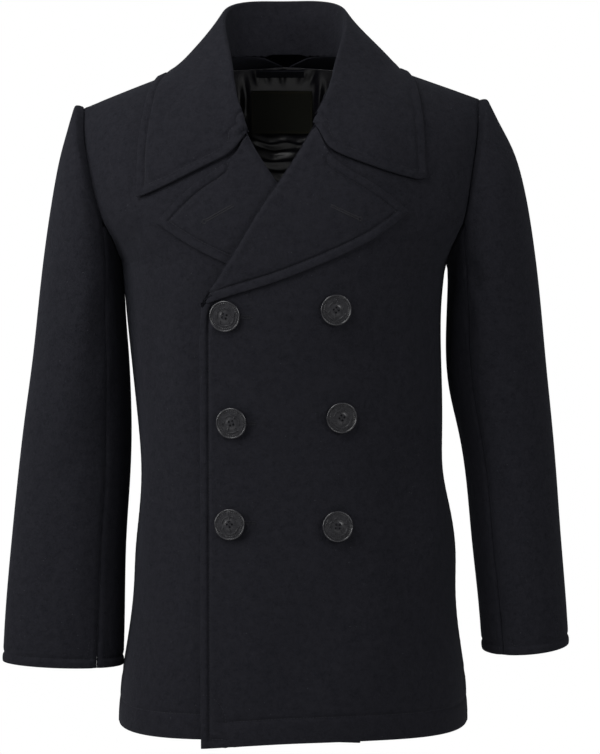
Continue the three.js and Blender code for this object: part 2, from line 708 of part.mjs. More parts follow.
function collarStation(side, turn) {
  const edgeTable = side > 0 ? leftCollarEdge : rightCollarEdge;
  const endRows = side > 0 ? leftCollarEnd : rightCollarEnd;
  const outline = side > 0 ? outerLapel : underLapel;
  const lift = side > 0 ? overlapLift : () => 0;
  const end = { x: outline.gorge[0].x, z: outline.gorge[0].z + gorgeRise };
  const endFrame = frontFrame(side * end.x, end.z);
  const endLift = lift(side * end.x, end.z) + layerGap + cloth;
  const endFold = endFrame.place.clone().addScaledVector(endFrame.normal, endLift);
  const foldTable = side > 0 ? leftCollarFold : rightCollarFold;
  const lastFold = { x: end.x + endFoldSeat.x, y: endFold.y + endFoldSeat.y, z: end.z + endFoldSeat.z };
  const fold = [...foldTable, { turn: 1, ...lastFold }];
  const foldAt = (t) => {
    const p = point(side * read(fold, "x", t), read(fold, "y", t), read(fold, "z", t));
    const isOnChest = t > 0.55 && t < 0.99;
    const clearance = foldClearance * ease(0.6, 0.8, t) * (1 - ease(0.9, 1, t));
    const chest = forwardOf(p.x, p.z, lift(p.x, p.z) + clearance);
    if (isOnChest) p.y = Math.min(p.y, -chest);
    return p;
  };
  const crest = foldAt(turn);
  const edgeAt = (column) => read(edgeTable, column, turn);
  const edge = point(side * edgeAt("x"), edgeAt("y"), edgeAt("z"));
  const seam = neckSeam(side, turn);
  const run = foldAt(Math.min(1, turn + 0.02)).sub(foldAt(Math.max(-0.02, turn - 0.02)));
  if (turn === 0) run.set(side, 0, 0);
  const middle = seam.clone().add(edge).multiplyScalar(0.5);
  const up = crest.clone().sub(middle);
  up.addScaledVector(run, -up.dot(run) / run.lengthSq()).normalize();
  const out = run.clone().cross(up).normalize().multiplyScalar(-side);
  const radius = mix(collarRoll, (2 * cloth + layerGap) / 2, ease(0.6, 1, turn));
  const centre = crest.clone().addScaledVector(up, -radius);
  const ring = (r, angle) =>
    centre.clone().addScaledVector(out, -r * Math.cos(angle)).addScaledVector(up, r * Math.sin(angle));
  return { seam, edge, out, up, ring, radius, end, endRows, lift, crest };
}

const fallColumns = [0.12, 0.26, 0.44, 0.62, 0.8]; // shares of the way from fold to welt

function collarPath(side, turn) {
  const s = collarStation(side, turn);
  const e = collarStation(side, 1);
  const standTop = s.ring(s.radius, 0);
  const seamRise = s.seam.clone().addScaledVector(s.up, neckGap);
  seamRise.x -= side * 4 * seamGap * clamp01(turn * 4);
  const stand = [0, 0.33, 0.67].map((share) => seamRise.clone().lerp(standTop, share));
  const arc = spaced(5, 0, Math.PI).map((angle) => s.ring(s.radius, angle));
  const fallStart = s.ring(s.radius, Math.PI);
  const gorgeEnd = e.endRows[0];
  const endPath = [
    e.ring(e.radius, Math.PI),
    point(side * (gorgeEnd.x + endSeat.x), 0, gorgeEnd.z + endSeat.z),
    ...e.endRows.slice(1).map((r) => point(side * r.x, 0, r.z + endSeat.z)),
  ];
  endPath.slice(1).forEach((p) => {
    const seat = frontFrame(p.x, p.z);
    const rise = s.lift(seat.place.x, seat.place.z) + layerGap + cloth;
    p.copy(seat.place).addScaledVector(seat.normal, rise);
  });
  const length = fallStart.distanceTo(s.edge);
  const edgeShares = edgeStops.map((stop) => 1 - stop / length).reverse();
  const shares = [...fallColumns.map((share) => share * edgeShares[0]), ...edgeShares];
  const pull = ease(0.5, 1, turn) ** 1.5;
  const bulge = read(fallBulge, side > 0 ? "left" : "right", turn);
  const fall = shares.map((share) => {
    const straight = fallStart.clone().lerp(s.edge, share);
    straight.addScaledVector(s.out, bulge * Math.sin(Math.PI * share));
    const endStraight = endPath[0].clone().lerp(endPath[endPath.length - 1], share);
    straight.add(along(endPath, share).sub(endStraight).multiplyScalar(pull));
    const clearance = mix(fallClearance.end, fallClearance.side, Math.sin(Math.PI * clamp01(turn)) ** 2);
    return clearOf(straight, s.out, clearance, s.lift);
  });
  return [...stand, ...arc, ...fall];
}

const collarTurns = [...spaced(13, 0, 0.88), 0.915, 0.9284, 0.942, 1]; // close together at the end's welt

function collar() {
  const rightHalf = [...collarTurns].reverse().map((turn) => collarPath(-1, turn));
  const leftHalf = collarTurns.slice(1).map((turn) => collarPath(1, turn));
  const grid = [...rightHalf, ...leftHalf].map((line) => [...line].reverse());
  const normals = gridNormals(grid);
  const last = grid[0].length - 1;
  const grooveColumn = 15; // counted from the neck seam
  const isGroove = (i, j) => last - j === grooveColumn;
  const outer = shifted(grid, normals, (i, j) => (isGroove(i, j) ? -grooveDepth : 0));
  return wall(outer, shifted(grid, normals, () => -cloth));
}

addPiece("collar", collar(), melton);

// Sleeves: rings from the armhole to the cuff, split into top and under sleeve

function armholeLoop(side, angle) {
  const isFront = Math.sin(angle) >= 0;
  const face = isFront ? "front" : "back";
  const rise = (1 + Math.cos(angle)) / 2;
  const level = mix(underarmHeight, ridgeHeight, rise);
  const section = sectionAt(level);
  const y = Math.min(read(armhole, face, level), section[face]);
  const width = side > 0 ? section.left : section.right;
  const share = section[face] > 0 ? y / section[face] : 0;
  const x = width * Math.max(0, 1 - share ** roundness) ** (1 / roundness);
  return point(side * x, isFront ? -y : y, level - section.drop * sag(x));
}

function sleevePoint(side, table, row, angle) {
  const value = (column) => read(table, column, row);
  const outer = point(side * value("outerX"), value("middle"), value("outerZ"));
  const under = point(side * value("innerX"), value("middle"), value("innerZ"));
  const centre = outer.clone().add(under).multiplyScalar(0.5);
  const half = outer.clone().sub(under).multiplyScalar(0.5);
  const p = centre.addScaledVector(half, Math.cos(angle));
  p.y -= value("depth") * Math.sin(angle);
  return p;
}

function sleeveSurface(side, table, row, angle) {
  const p = sleevePoint(side, table, row, angle);
  const gathered = 1 - ease(0, gatherEnd, row);
  const loop = armholeLoop(side, angle);
  loop.x += side * armholeGap;
  return p.add(loop.sub(sleevePoint(side, table, 0, angle)).multiplyScalar(gathered));
}

const lastRow = 12;
const rowLength = 68; // millimetres between the last two rows of the sleeve tables
const cuffRow = (distance) => lastRow - distance / rowLength;
const sleeveRows = [
  ...[0, 0.35, 0.7, 1, 1.5, 2, 2.5, 3, 4, 5, 6, 7, 8, 9, 10, 11],
  cuffRow(cuffDepth + grooveWidth / 2),
  cuffRow(cuffDepth),
  cuffRow(cuffDepth - grooveWidth / 2),
  lastRow,
];
const cuffGrooveRow = sleeveRows.length - 3;

function sleevePiece(side, table, from, to, columns) {
  const sleeveRadius = 60;
  const rowStep = 0.08;
  const angleStep = 0.03;
  const seamAngle = seamGap / 2 / sleeveRadius;
  const angles = spaced(columns, from + seamAngle, to - seamAngle);
  const surface = (row, angle) => sleeveSurface(side, table, row, angle);
  const outer = [];
  const inner = [];
  sleeveRows.forEach((row, i) => {
    const outerLine = [];
    const innerLine = [];
    angles.forEach((angle) => {
      const p = surface(row, angle);
      const above = surface(Math.max(0, row - rowStep), angle);
      const down = surface(Math.min(lastRow, row + rowStep), angle).sub(above);
      const round = surface(row, angle + angleStep).sub(surface(row, angle - angleStep));
      const normal = down.cross(round).normalize().multiplyScalar(-side);
      const sunk = i === cuffGrooveRow ? grooveDepth : 0;
      outerLine.push(p.clone().addScaledVector(normal, -sunk));
      innerLine.push(p.clone().addScaledVector(normal, -cloth));
    });
    outer.push(outerLine);
    inner.push(innerLine);
  });
  return wall(turned(outer, side), turned(inner, side));
}

[
  { name: "left", side: 1, table: leftSleeve },
  { name: "right", side: -1, table: rightSleeve },
].forEach(({ name, side, table }) => {
  const top = sleevePiece(side, table, backSleeveSeam, frontSleeveSeam, 15);
  const under = sleevePiece(side, table, frontSleeveSeam, 2 * Math.PI + backSleeveSeam, 9);
  addPiece(name + "_top_sleeve", top, melton);
  addPiece(name + "_under_sleeve", under, melton);
});

// Inside the neck: satin over the upper back, a hanger loop and a bare label

function insideBack(x, z, off) {
  const step = 2;
  const depth = depthAt(x, z, "back");
  const slopeX = (depthAt(x + step, z, "back") - depthAt(x - step, z, "back")) / (2 * step);
  const slopeZ = (depthAt(x, z + step, "back") - depthAt(x, z - step, "back")) / (2 * step);
  const outward = point(-slopeX, 1, -slopeZ).normalize();
  return point(x, depth, z).addScaledVector(outward, -cloth - off);
}

function insidePatch(xs, zs, off, thickness) {
  const face = (distance) => zs.map((z) => xs.map((x) => insideBack(x, z(x), distance)));
  return wall(face(off + thickness), face(off));
}

const liningTop = (x) => -6 - 0.06 * Math.abs(x);
const liningRows = spaced(9, 0, 1).map((share) => (x) => mix(-liningDepth, liningTop(x), share));
const liningColumns = spaced(13, -liningHalfWidth, liningHalfWidth);
addPiece("back_lining", insidePatch(liningColumns, liningRows, insideGap, satin), satinCloth);

const labelBox = { left: -42, right: 32, low: -86, high: -33 };
const trimLift = insideGap + satin + trimGap;
const labelRows = spaced(3, labelBox.low, labelBox.high).map((z) => () => z);
const labelColumns = spaced(5, labelBox.left, labelBox.right);
addPiece("neck_label", insidePatch(labelColumns, labelRows, trimLift, labelCloth), labelWeave);

const loopBox = { left: -36, right: 22, low: -17, high: -9 };
const loopRows = [loopBox.low, loopBox.high].map((z) => () => z);
const loopColumns = spaced(9, loopBox.left, loopBox.right);
addPiece("hanger_loop", insidePatch(loopColumns, loopRows, trimLift, loopCloth), melton);

// Buttons: a dished disc with a raised rim and four holes

const wasm = await Module();
wasm.setup();

function solidFrom(geometry) {
  geometry.deleteAttribute("normal");
  geometry.deleteAttribute("uv");
  const merged = mergeVertices(geometry, 1e-4);
  const vertProperties = merged.attributes.position.array;
  const triVerts = new Uint32Array(merged.index.array);
  return new wasm.Manifold(new wasm.Mesh({ numProp: 3, vertProperties, triVerts }));
}

function geometryFrom(solid) {
  const mesh = solid.getMesh();
  const geometry = new THREE.BufferGeometry();
  geometry.setAttribute("position", new THREE.Float32BufferAttribute(mesh.vertProperties, 3));
  geometry.setIndex([...mesh.triVerts]);
  return geometry;
}

const buttonProfile = [
  { radius: 0, height: 0 },
  { radius: 12, height: 0 },
  { radius: 16, height: 1 },
  { radius: buttonRadius, height: 2.4 },
  { radius: 16.4, height: 3.6 },
  { radius: 15.2, height: 3.8 },
  { radius: 14.2, height: 3 },
  { radius: 0, height: 2.6 },
];

function buttonSolid() {
  const outline = buttonProfile.map((p) => new THREE.Vector2(p.radius, p.height));
  const sides = 16;
  const holeSides = 6;
  const throughAll = 10;
  const disc = new THREE.LatheGeometry(outline, sides).rotateX(Math.PI / 2);
  return [0, 1, 2, 3].reduce((solid, i) => {
    const angle = (i + 0.5) * (Math.PI / 2);
    const hole = new THREE.CylinderGeometry(buttonHoleRadius, buttonHoleRadius, throughAll, holeSides);
    hole.rotateX(Math.PI / 2);
    hole.translate(buttonHoleCircle * Math.cos(angle), buttonHoleCircle * Math.sin(angle), 0);
    return solid.subtract(solidFrom(hole));
  }, solidFrom(disc));
}

const buttonGeometry = geometryFrom(buttonSolid());

buttons.forEach(({ name, x, z, spin, stand }) => {
  const seat = frontFrame(x, z);
  const place = seat.place.clone().addScaledVector(seat.normal, overlapLift(x, z) + stand);
  const facing = new THREE.Quaternion().setFromUnitVectors(point(0, 0, 1), seat.normal);
  const turnedButton = new THREE.Quaternion().setFromAxisAngle(point(0, 0, 1), spin);
  const mesh = new THREE.Mesh(buttonGeometry, new THREE.MeshStandardMaterial(buttonPlastic));
  mesh.name = name;
  mesh.quaternion.copy(facing.multiply(turnedButton));
  mesh.position.copy(place);
  root.add(mesh);
});

export default root;
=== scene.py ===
# %% [markdown]
# A double-breasted pea coat in thick navy melton, filled out as if it were worn.
# The wool is milled until no weave shows, so its look comes from soft nap, rounded edges and
# a stitched line near every edge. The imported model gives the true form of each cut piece.
# This lesson turns those forms into cloth, adds the sewing, the buttonholes and the buttons,
# and lights them.

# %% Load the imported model
import math
import random

import bpy
import numpy as np
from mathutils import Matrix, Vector
from mathutils.bvhtree import BVHTree
from mathutils.kdtree import KDTree


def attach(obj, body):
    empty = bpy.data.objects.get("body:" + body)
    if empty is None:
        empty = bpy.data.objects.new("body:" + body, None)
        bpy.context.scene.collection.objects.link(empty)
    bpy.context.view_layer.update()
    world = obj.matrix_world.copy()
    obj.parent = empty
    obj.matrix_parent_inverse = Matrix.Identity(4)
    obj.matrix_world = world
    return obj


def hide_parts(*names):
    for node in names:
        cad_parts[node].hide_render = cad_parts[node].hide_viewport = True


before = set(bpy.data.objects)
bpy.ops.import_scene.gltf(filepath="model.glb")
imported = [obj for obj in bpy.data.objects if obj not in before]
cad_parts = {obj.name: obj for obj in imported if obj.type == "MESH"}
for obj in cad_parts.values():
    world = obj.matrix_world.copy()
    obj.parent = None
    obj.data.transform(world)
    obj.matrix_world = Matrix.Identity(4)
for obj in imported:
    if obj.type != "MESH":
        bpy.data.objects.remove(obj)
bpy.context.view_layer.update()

MM = 0.001
SCENE = bpy.context.scene

# %% [markdown]
# The camera stands three metres in front of the coat at chest height and looks a little down.
# The lens is long enough that the coat fills the height of an upright picture.

# %% Camera
CAMERA_PLACE = Vector((0.000, -3.000, -0.090))
PICTURE_MIDDLE = Vector((0.016, 0.000, -0.367))
PICTURE_HEIGHT = 0.867  # metres of coat from the top of the picture to its foot
CAMERA_SHIFT = -0.06  # share of the picture's height, keeps the upright lines a little straighter
CAMERA_AIM = PICTURE_MIDDLE + Vector((0, 0, -CAMERA_SHIFT * PICTURE_HEIGHT))
SENSOR = 36.0


def make_camera():
    bpy.ops.object.select_all(action="DESELECT")
    bpy.ops.object.camera_add(location=CAMERA_PLACE)
    camera = bpy.context.object
    camera.name = "camera"
    aim = CAMERA_AIM - CAMERA_PLACE
    camera.rotation_euler = aim.to_track_quat("-Z", "Y").to_euler()
    camera.data.sensor_width = SENSOR
    camera.data.sensor_fit = "AUTO"
    camera.data.lens = SENSOR * aim.length / PICTURE_HEIGHT
    camera.data.shift_y = CAMERA_SHIFT
    SCENE.camera = camera
    return camera


camera = make_camera()
print("lens", round(camera.data.lens, 1))

# %% [markdown]
# Materials are built from nodes. A small helper makes a node, sets its inputs and returns it,
# so that each material reads as a short list of steps. Patterns are laid out in the object's own
# coordinates, in metres, so a scale of 900 means detail about a millimetre across.


# %% Helpers for materials
def new_material(name):
    material = bpy.data.materials.new(name)
    material.use_nodes = True
    tree = material.node_tree
    return material, tree, tree.nodes["Principled BSDF"]


def add_node(tree, kind, inputs=(), **settings):
    node = tree.nodes.new(kind)
    for name, value in settings.items():
        setattr(node, name, value)
    for name, value in dict(inputs).items():
        if isinstance(value, bpy.types.NodeSocket):
            tree.links.new(value, node.inputs[name])
        else:
            node.inputs[name].default_value = value
    return node


def object_place(tree):
    return add_node(tree, "ShaderNodeTexCoord").outputs["Object"]


def object_noise(tree, scale, detail=3.0, roughness=0.55):
    inputs = {"Vector": object_place(tree), "Scale": scale, "Detail": detail, "Roughness": roughness}
    return add_node(tree, "ShaderNodeTexNoise", inputs).outputs["Fac"]


def colour_socket(sockets, name):
    return [socket for socket in sockets if socket.name == name and socket.type == "RGBA"][0]


def blend_colours(tree, share, first, second):
    mix = add_node(tree, "ShaderNodeMix", data_type="RGBA")
    tree.links.new(share, mix.inputs["Factor"])
    for name, colour in (("A", first), ("B", second)):
        target = colour_socket(mix.inputs, name)
        if isinstance(colour, bpy.types.NodeSocket):
            tree.links.new(colour, target)
        else:
            target.default_value = (*colour, 1.0)
    return colour_socket(mix.outputs, "Result")


def bump_from(tree, height, distance, strength=1.0, normal=None):
    inputs = {"Height": height, "Distance": distance, "Strength": strength}
    if normal is not None:
        inputs["Normal"] = normal
    return add_node(tree, "ShaderNodeBump", inputs).outputs["Normal"]


def remap(tree, value, low, high, to_low=0.0, to_high=1.0):
    inputs = {"Value": value, "From Min": low, "From Max": high, "To Min": to_low, "To Max": to_high}
    return add_node(tree, "ShaderNodeMapRange", inputs).outputs["Result"]


# %% [markdown]
# Melton is woven, then shrunk and brushed until its surface is a dense felt. Close to, it is a
# tangle of blue-black fibres with a few pale ones, and further off it is faintly mottled.
# Three layers of noise give the mottling, the felt and the single fibres, and a little sheen
# stands for the nap that catches light along the edges.


# %% Melton
MELTON_DARK = (0.0030, 0.0032, 0.0050)
MELTON_MIDDLE = (0.0085, 0.0088, 0.0128)
MELTON_NAP = (0.0170, 0.0172, 0.0225)
MELTON_PALE = (0.0150, 0.0150, 0.0195)
MELTON_LINT = (0.070, 0.072, 0.080)
FIBRE_SCALE = 1100.0
FELT_SCALE = 330.0
MOTTLE_SCALE = 130.0
LINT_SCALE = 210.0


def make_melton():
    material, tree, shader = new_material("navy_melton")
    fibres = object_noise(tree, FIBRE_SCALE, 3.0, 0.7)
    felt = object_noise(tree, FELT_SCALE, 4.0, 0.65)
    mottle = object_noise(tree, MOTTLE_SCALE, 4.0, 0.7)
    body = blend_colours(tree, remap(tree, felt, 0.3, 0.7), MELTON_DARK, MELTON_MIDDLE)
    nap = blend_colours(tree, remap(tree, fibres, 0.45, 0.8), body, MELTON_NAP)
    mottled = blend_colours(tree, remap(tree, mottle, 0.35, 0.65, 0.0, 0.5), nap, MELTON_PALE)
    spots = add_node(tree, "ShaderNodeTexVoronoi", {"Vector": object_place(tree), "Scale": LINT_SCALE})
    lint = remap(tree, spots.outputs["Distance"], 0.10, 0.04)
    rare = remap(tree, object_noise(tree, 95.0, 1.0), 0.60, 0.66)
    both = add_node(tree, "ShaderNodeMath", {0: lint, 1: rare}, operation="MULTIPLY").outputs["Value"]
    tree.links.new(blend_colours(tree, both, mottled, MELTON_LINT), shader.inputs["Base Color"])
    shader.inputs["Roughness"].default_value = 0.9
    shader.inputs["Specular IOR Level"].default_value = 0.12
    shader.inputs["Sheen Weight"].default_value = 0.035
    shader.inputs["Sheen Roughness"].default_value = 0.4
    shader.inputs["Sheen Tint"].default_value = (0.62, 0.68, 0.85, 1.0)
    soft = bump_from(tree, felt, 0.9 * MM, 0.7)
    tree.links.new(bump_from(tree, fibres, 0.4 * MM, 0.8, soft), shader.inputs["Normal"])
    return material


melton = make_melton()
print("melton nodes", len(melton.node_tree.nodes))

# %% [markdown]
# The lining is a smooth satin that throws back a soft, slightly violet light from each pucker.
# The label is a fine dark weave, the sewing thread is a shade lighter than the cloth it lies on,
# and the buttons are moulded in a dark grey plastic with a half gloss.


# %% Satin, label, thread and button plastic
def make_satin():
    material, tree, shader = new_material("black_satin")
    threads = object_noise(tree, 1500.0, 2.0)
    shade = object_noise(tree, 45.0, 2.0)
    colour = blend_colours(tree, shade, (0.0035, 0.0035, 0.0055), (0.0075, 0.0070, 0.0110))
    tree.links.new(colour, shader.inputs["Base Color"])
    tree.links.new(remap(tree, threads, 0.3, 0.7, 0.26, 0.40), shader.inputs["Roughness"])
    shader.inputs["Specular IOR Level"].default_value = 0.45
    shader.inputs["Sheen Weight"].default_value = 0.04
    shader.inputs["Sheen Tint"].default_value = (0.72, 0.68, 0.95, 1.0)
    tree.links.new(bump_from(tree, threads, 0.15 * MM, 0.4), shader.inputs["Normal"])
    return material


def make_label_weave():
    material, tree, shader = new_material("label_weave")
    place = object_place(tree)
    rows = add_node(tree, "ShaderNodeTexWave", {"Vector": place, "Scale": 420.0, "Distortion": 0.6})
    rows.bands_direction = "Z"
    weave = object_noise(tree, 1600.0, 2.0)
    ground = blend_colours(tree, weave, (0.0050, 0.0055, 0.0022), (0.0110, 0.0115, 0.0050))
    pale = remap(tree, rows.outputs["Fac"], 0.0, 1.0, 0.0, 0.3)
    colour = blend_colours(tree, pale, ground, (0.014, 0.014, 0.007))
    tree.links.new(colour, shader.inputs["Base Color"])
    shader.inputs["Roughness"].default_value = 0.55
    shader.inputs["Specular IOR Level"].default_value = 0.3
    tree.links.new(bump_from(tree, rows.outputs["Fac"], 0.2 * MM, 0.6), shader.inputs["Normal"])
    return material


def make_thread(name, dark, light):
    material, tree, shader = new_material(name)
    twist = object_noise(tree, 2500.0, 2.0)
    tree.links.new(blend_colours(tree, twist, dark, light), shader.inputs["Base Color"])
    shader.inputs["Roughness"].default_value = 0.55
    shader.inputs["Specular IOR Level"].default_value = 0.3
    tree.links.new(bump_from(tree, twist, 0.1 * MM, 0.6), shader.inputs["Normal"])
    return material


def make_button_plastic():
    material, tree, shader = new_material("button_plastic")
    cloud = object_noise(tree, 260.0, 3.0)
    fine = object_noise(tree, 2200.0, 2.0)
    colour = blend_colours(tree, cloud, (0.013, 0.013, 0.015), (0.026, 0.026, 0.030))
    tree.links.new(colour, shader.inputs["Base Color"])
    tree.links.new(remap(tree, cloud, 0.3, 0.7, 0.20, 0.34), shader.inputs["Roughness"])
    shader.inputs["Specular IOR Level"].default_value = 0.6
    tree.links.new(bump_from(tree, fine, 0.05 * MM, 0.5), shader.inputs["Normal"])
    return material


satin = make_satin()
label_weave = make_label_weave()
navy_thread = make_thread("navy_thread", (0.004, 0.004, 0.007), (0.011, 0.011, 0.016))
gold_thread = make_thread("gold_thread", (0.060, 0.044, 0.012), (0.130, 0.098, 0.034))
button_plastic = make_button_plastic()
print("materials", len(bpy.data.materials))

# %% [markdown]
# Most steps read a mesh's points into rows of numbers, move them, and write them back. These
# helpers do that, apply a modifier, find near points, and finish a piece: it gets its material,
# rides on the one body, and hides the imported nodes it stands for.


# %% Helpers for meshes
def select_only(piece):
    bpy.ops.object.select_all(action="DESELECT")
    piece.select_set(True)
    bpy.context.view_layer.objects.active = piece


def vertex_values(piece, kind):
    flat = np.zeros(len(piece.data.vertices) * 3)
    piece.data.vertices.foreach_get(kind, flat)
    return flat.reshape(-1, 3)


def set_points(piece, points):
    piece.data.vertices.foreach_set("co", np.ascontiguousarray(points, float).ravel())
    piece.data.update()


def apply_modifier(piece, kind, **settings):
    select_only(piece)
    modifier = piece.modifiers.new(kind.lower(), kind)
    for name, value in settings.items():
        setattr(modifier, name, value)
    bpy.ops.object.modifier_apply(modifier=modifier.name)


def finish_piece(piece, material, slot, *nodes):
    piece.vertex_groups.clear()
    piece.data.materials.clear()
    piece.data.materials.append(material)
    select_only(piece)
    bpy.ops.object.shade_smooth()
    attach(piece, "root")
    if nodes:
        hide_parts(*nodes)
    return piece


def tree_of(points):
    tree = KDTree(len(points))
    for index, place in enumerate(points):
        tree.insert(place, index)
    tree.balance()
    return tree


FAR = 9.0  # metres, stands for a distance that is out of reach


def smooth_share(low, high, values):
    share = np.clip((np.asarray(values, float) - low) / (high - low), 0.0, 1.0)
    return share * share * (3.0 - 2.0 * share)


# %% [markdown]
# Each cut piece is a wall of cloth. Its packed form is made of loose triangles, so a copy of it
# is merged and turned back into four-sided faces. The rim gets a small bevel, because thick wool
# has rounded edges, and a subdivision surface then rounds the whole form. A vertex group marks
# the rim, and the bevel and the subdivision carry that mark along to the finished cloth.

# %% Cloth forms
RIM_ANGLE = math.radians(76)
RIM_BEVEL = 0.8 * MM
RIM_GROUP = "rim"
RIM_WEIGHT = 0.995  # the mark fades where the subdivision blends it, so only full marks count


def rim_vertices(mesh):
    """Vertices of the edges where the wall turns from its face to its rim."""
    select_only(mesh)
    bpy.ops.object.mode_set(mode="EDIT")
    bpy.ops.mesh.select_mode(type="EDGE")
    bpy.ops.mesh.select_all(action="DESELECT")
    bpy.ops.mesh.edges_select_sharp(sharpness=RIM_ANGLE)
    bpy.ops.object.mode_set(mode="OBJECT")
    return [v.index for v in mesh.data.vertices if v.select]


def cloth_form(node, levels, bevel=RIM_BEVEL, relax=None):
    """A rounded cloth wall of four-sided faces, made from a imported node."""
    form = bpy.data.objects.new(node + "_cloth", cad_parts[node].data.copy())
    SCENE.collection.objects.link(form)
    select_only(form)
    bpy.ops.object.mode_set(mode="EDIT")
    bpy.ops.mesh.select_all(action="SELECT")
    bpy.ops.mesh.remove_doubles(threshold=0.01 * MM)
    bpy.ops.mesh.tris_convert_to_quads(face_threshold=math.radians(60), shape_threshold=math.radians(80))
    bpy.ops.object.mode_set(mode="OBJECT")
    rim = rim_vertices(form)
    form.vertex_groups.new(name=RIM_GROUP).add(rim, 1.0, "REPLACE")
    if relax:
        relax(form, rim)
    rim_vertices(form)
    bpy.ops.object.mode_set(mode="EDIT")
    bpy.ops.mesh.bevel(offset=bevel, segments=2, profile=0.5)
    bpy.ops.object.mode_set(mode="OBJECT")
    apply_modifier(form, "SUBSURF", levels=levels, render_levels=levels)
    return form


def rim_of(form):
    """Indices of the vertices on the finished rim."""
    found = []
    for vertex in form.data.vertices:
        if any(entry.weight > RIM_WEIGHT for entry in vertex.groups):
            found.append(vertex.index)
    return np.array(found, int)


# %% [markdown]
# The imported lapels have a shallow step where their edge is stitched. It only marks the place,
# so it is relaxed away here, and the true groove is cut later at an even distance from the edge.
# The fronts and lapels, which are seen closest, are divided once more than the rest.

# %% Cut pieces of the coat
WELT = 9.5 * MM
LAPEL_OUT = np.array((0.0, -0.85, 0.5))


def relax_welt(form, rim):
    """Smooths the front face of a lapel between its edge and a little past its welt."""
    points = vertex_values(form, "co")
    normals = vertex_values(form, "normal")
    edge_tree = tree_of(points[rim])
    reach = np.array([edge_tree.find(p)[2] for p in points])
    front = normals @ LAPEL_OUT > 0.35
    inside = (reach > 0.4 * WELT) & (reach < 1.7 * WELT)
    select_only(form)
    bpy.ops.object.mode_set(mode="EDIT")
    bpy.ops.mesh.select_mode(type="VERT")
    bpy.ops.mesh.select_all(action="DESELECT")
    bpy.ops.object.mode_set(mode="OBJECT")
    for index in np.where(front & inside)[0]:
        form.data.vertices[index].select = True
    bpy.ops.object.mode_set(mode="EDIT")
    bpy.ops.mesh.vertices_smooth(factor=0.5, repeat=6)
    bpy.ops.object.mode_set(mode="OBJECT")


CUT_PIECES = [
    {"node": "left_front", "levels": 3, "relax": None},
    {"node": "right_front", "levels": 3, "relax": None},
    {"node": "left_back", "levels": 2, "relax": None},
    {"node": "right_back", "levels": 2, "relax": None},
    {"node": "left_lapel", "levels": 3, "relax": relax_welt},
    {"node": "right_lapel", "levels": 3, "relax": relax_welt},
    {"node": "collar", "levels": 2, "relax": None},
    {"node": "left_top_sleeve", "levels": 2, "relax": None},
    {"node": "left_under_sleeve", "levels": 2, "relax": None},
    {"node": "right_top_sleeve", "levels": 2, "relax": None},
    {"node": "right_under_sleeve", "levels": 2, "relax": None},
]
cloths = {}
rims = {}
for row in CUT_PIECES:
    name = row["node"]
    cloths[name] = cloth_form(name, row["levels"], relax=row["relax"])
    rims[name] = rim_of(cloths[name])
    print(name, len(cloths[name].data.polygons), "faces,", len(rims[name]), "points on the rim")

# %% [markdown]
# When cloth is shaped, both faces of its wall move the same way: straight out from the body, or
# from the sleeve's middle. So the cloth keeps its thickness, and neighbouring pieces stay
# together at their seams. These directions are worked out once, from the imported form.

# %% Directions in which cloth moves
TORSO_HALF_WIDTH = 0.205
TORSO_HALF_DEPTH = 0.148
SLEEVE_MIDDLES = {
    "right": [(-0.212, 0.006, -0.150), (-0.226, 0.005, -0.230), (-0.235, 0.007, -0.350),
              (-0.241, 0.003, -0.485), (-0.256, -0.016, -0.695)],
    "left": [(0.203, 0.006, -0.148), (0.230, 0.005, -0.222), (0.241, 0.007, -0.350),
             (0.260, 0.000, -0.484), (0.275, -0.026, -0.675)],
}


def unit(rows):
    return rows / np.maximum(np.linalg.norm(rows, axis=1, keepdims=True), 1e-9)


def spread_path(path, step=3 * MM):
    """Points close together along a path of corner points."""
    path = np.array(path, float)
    places = []
    for start, end in zip(path[:-1], path[1:]):
        count = max(1, int(np.ceil(np.linalg.norm(end - start) / step)))
        places += [start + (end - start) * k / count for k in range(count)]
    return np.array(places + [path[-1]])


def away_from_torso(points):
    x, y = points[:, 0] / TORSO_HALF_WIDTH, points[:, 1] / TORSO_HALF_DEPTH
    level = unit(np.stack([np.sign(x) * np.abs(x) ** 1.4, np.sign(y) * np.abs(y) ** 1.4, 0 * x], 1))
    top = smooth_share(-0.12, 0.01, points[:, 2])[:, None]
    return unit(level * (1 - 0.85 * top) + np.array((0.0, 0.0, 1.0)) * top)


def away_from_sleeve(points, side):
    middle = spread_path(SLEEVE_MIDDLES[side], 10 * MM)
    middle_tree = tree_of(middle)
    nearest = np.array([middle[middle_tree.find(p)[1]] for p in points])
    return unit((points - nearest) * np.array((1.0, 1.0, 0.35)))


def side_of(name):
    return "left" if name.startswith("left") else "right"


outward = {}
for name, cloth in cloths.items():
    points = vertex_values(cloth, "co")
    is_sleeve = name.endswith("sleeve")
    outward[name] = away_from_sleeve(points, side_of(name)) if is_sleeve else away_from_torso(points)
print("directions for", len(outward), "pieces")

# %% [markdown]
# Soft folds are listed one by one. Each is a short path, seen from the front or the back, with a
# width and a depth: a negative depth is a trough and a positive one a ridge. The path is laid on
# the cloth by casting rays, and the fold fades out towards both of its ends.

# %% Folds listed one by one
GROUPS = {
    "torso": ["left_front", "right_front", "left_back", "right_back", "left_lapel", "right_lapel"],
    "right_sleeve": ["right_top_sleeve", "right_under_sleeve"],
    "left_sleeve": ["left_top_sleeve", "left_under_sleeve"],
    "collar": ["collar"],
}
VIEWS = {"front": -1.0, "back": 1.0}  # metres along Y to where each view's rays start

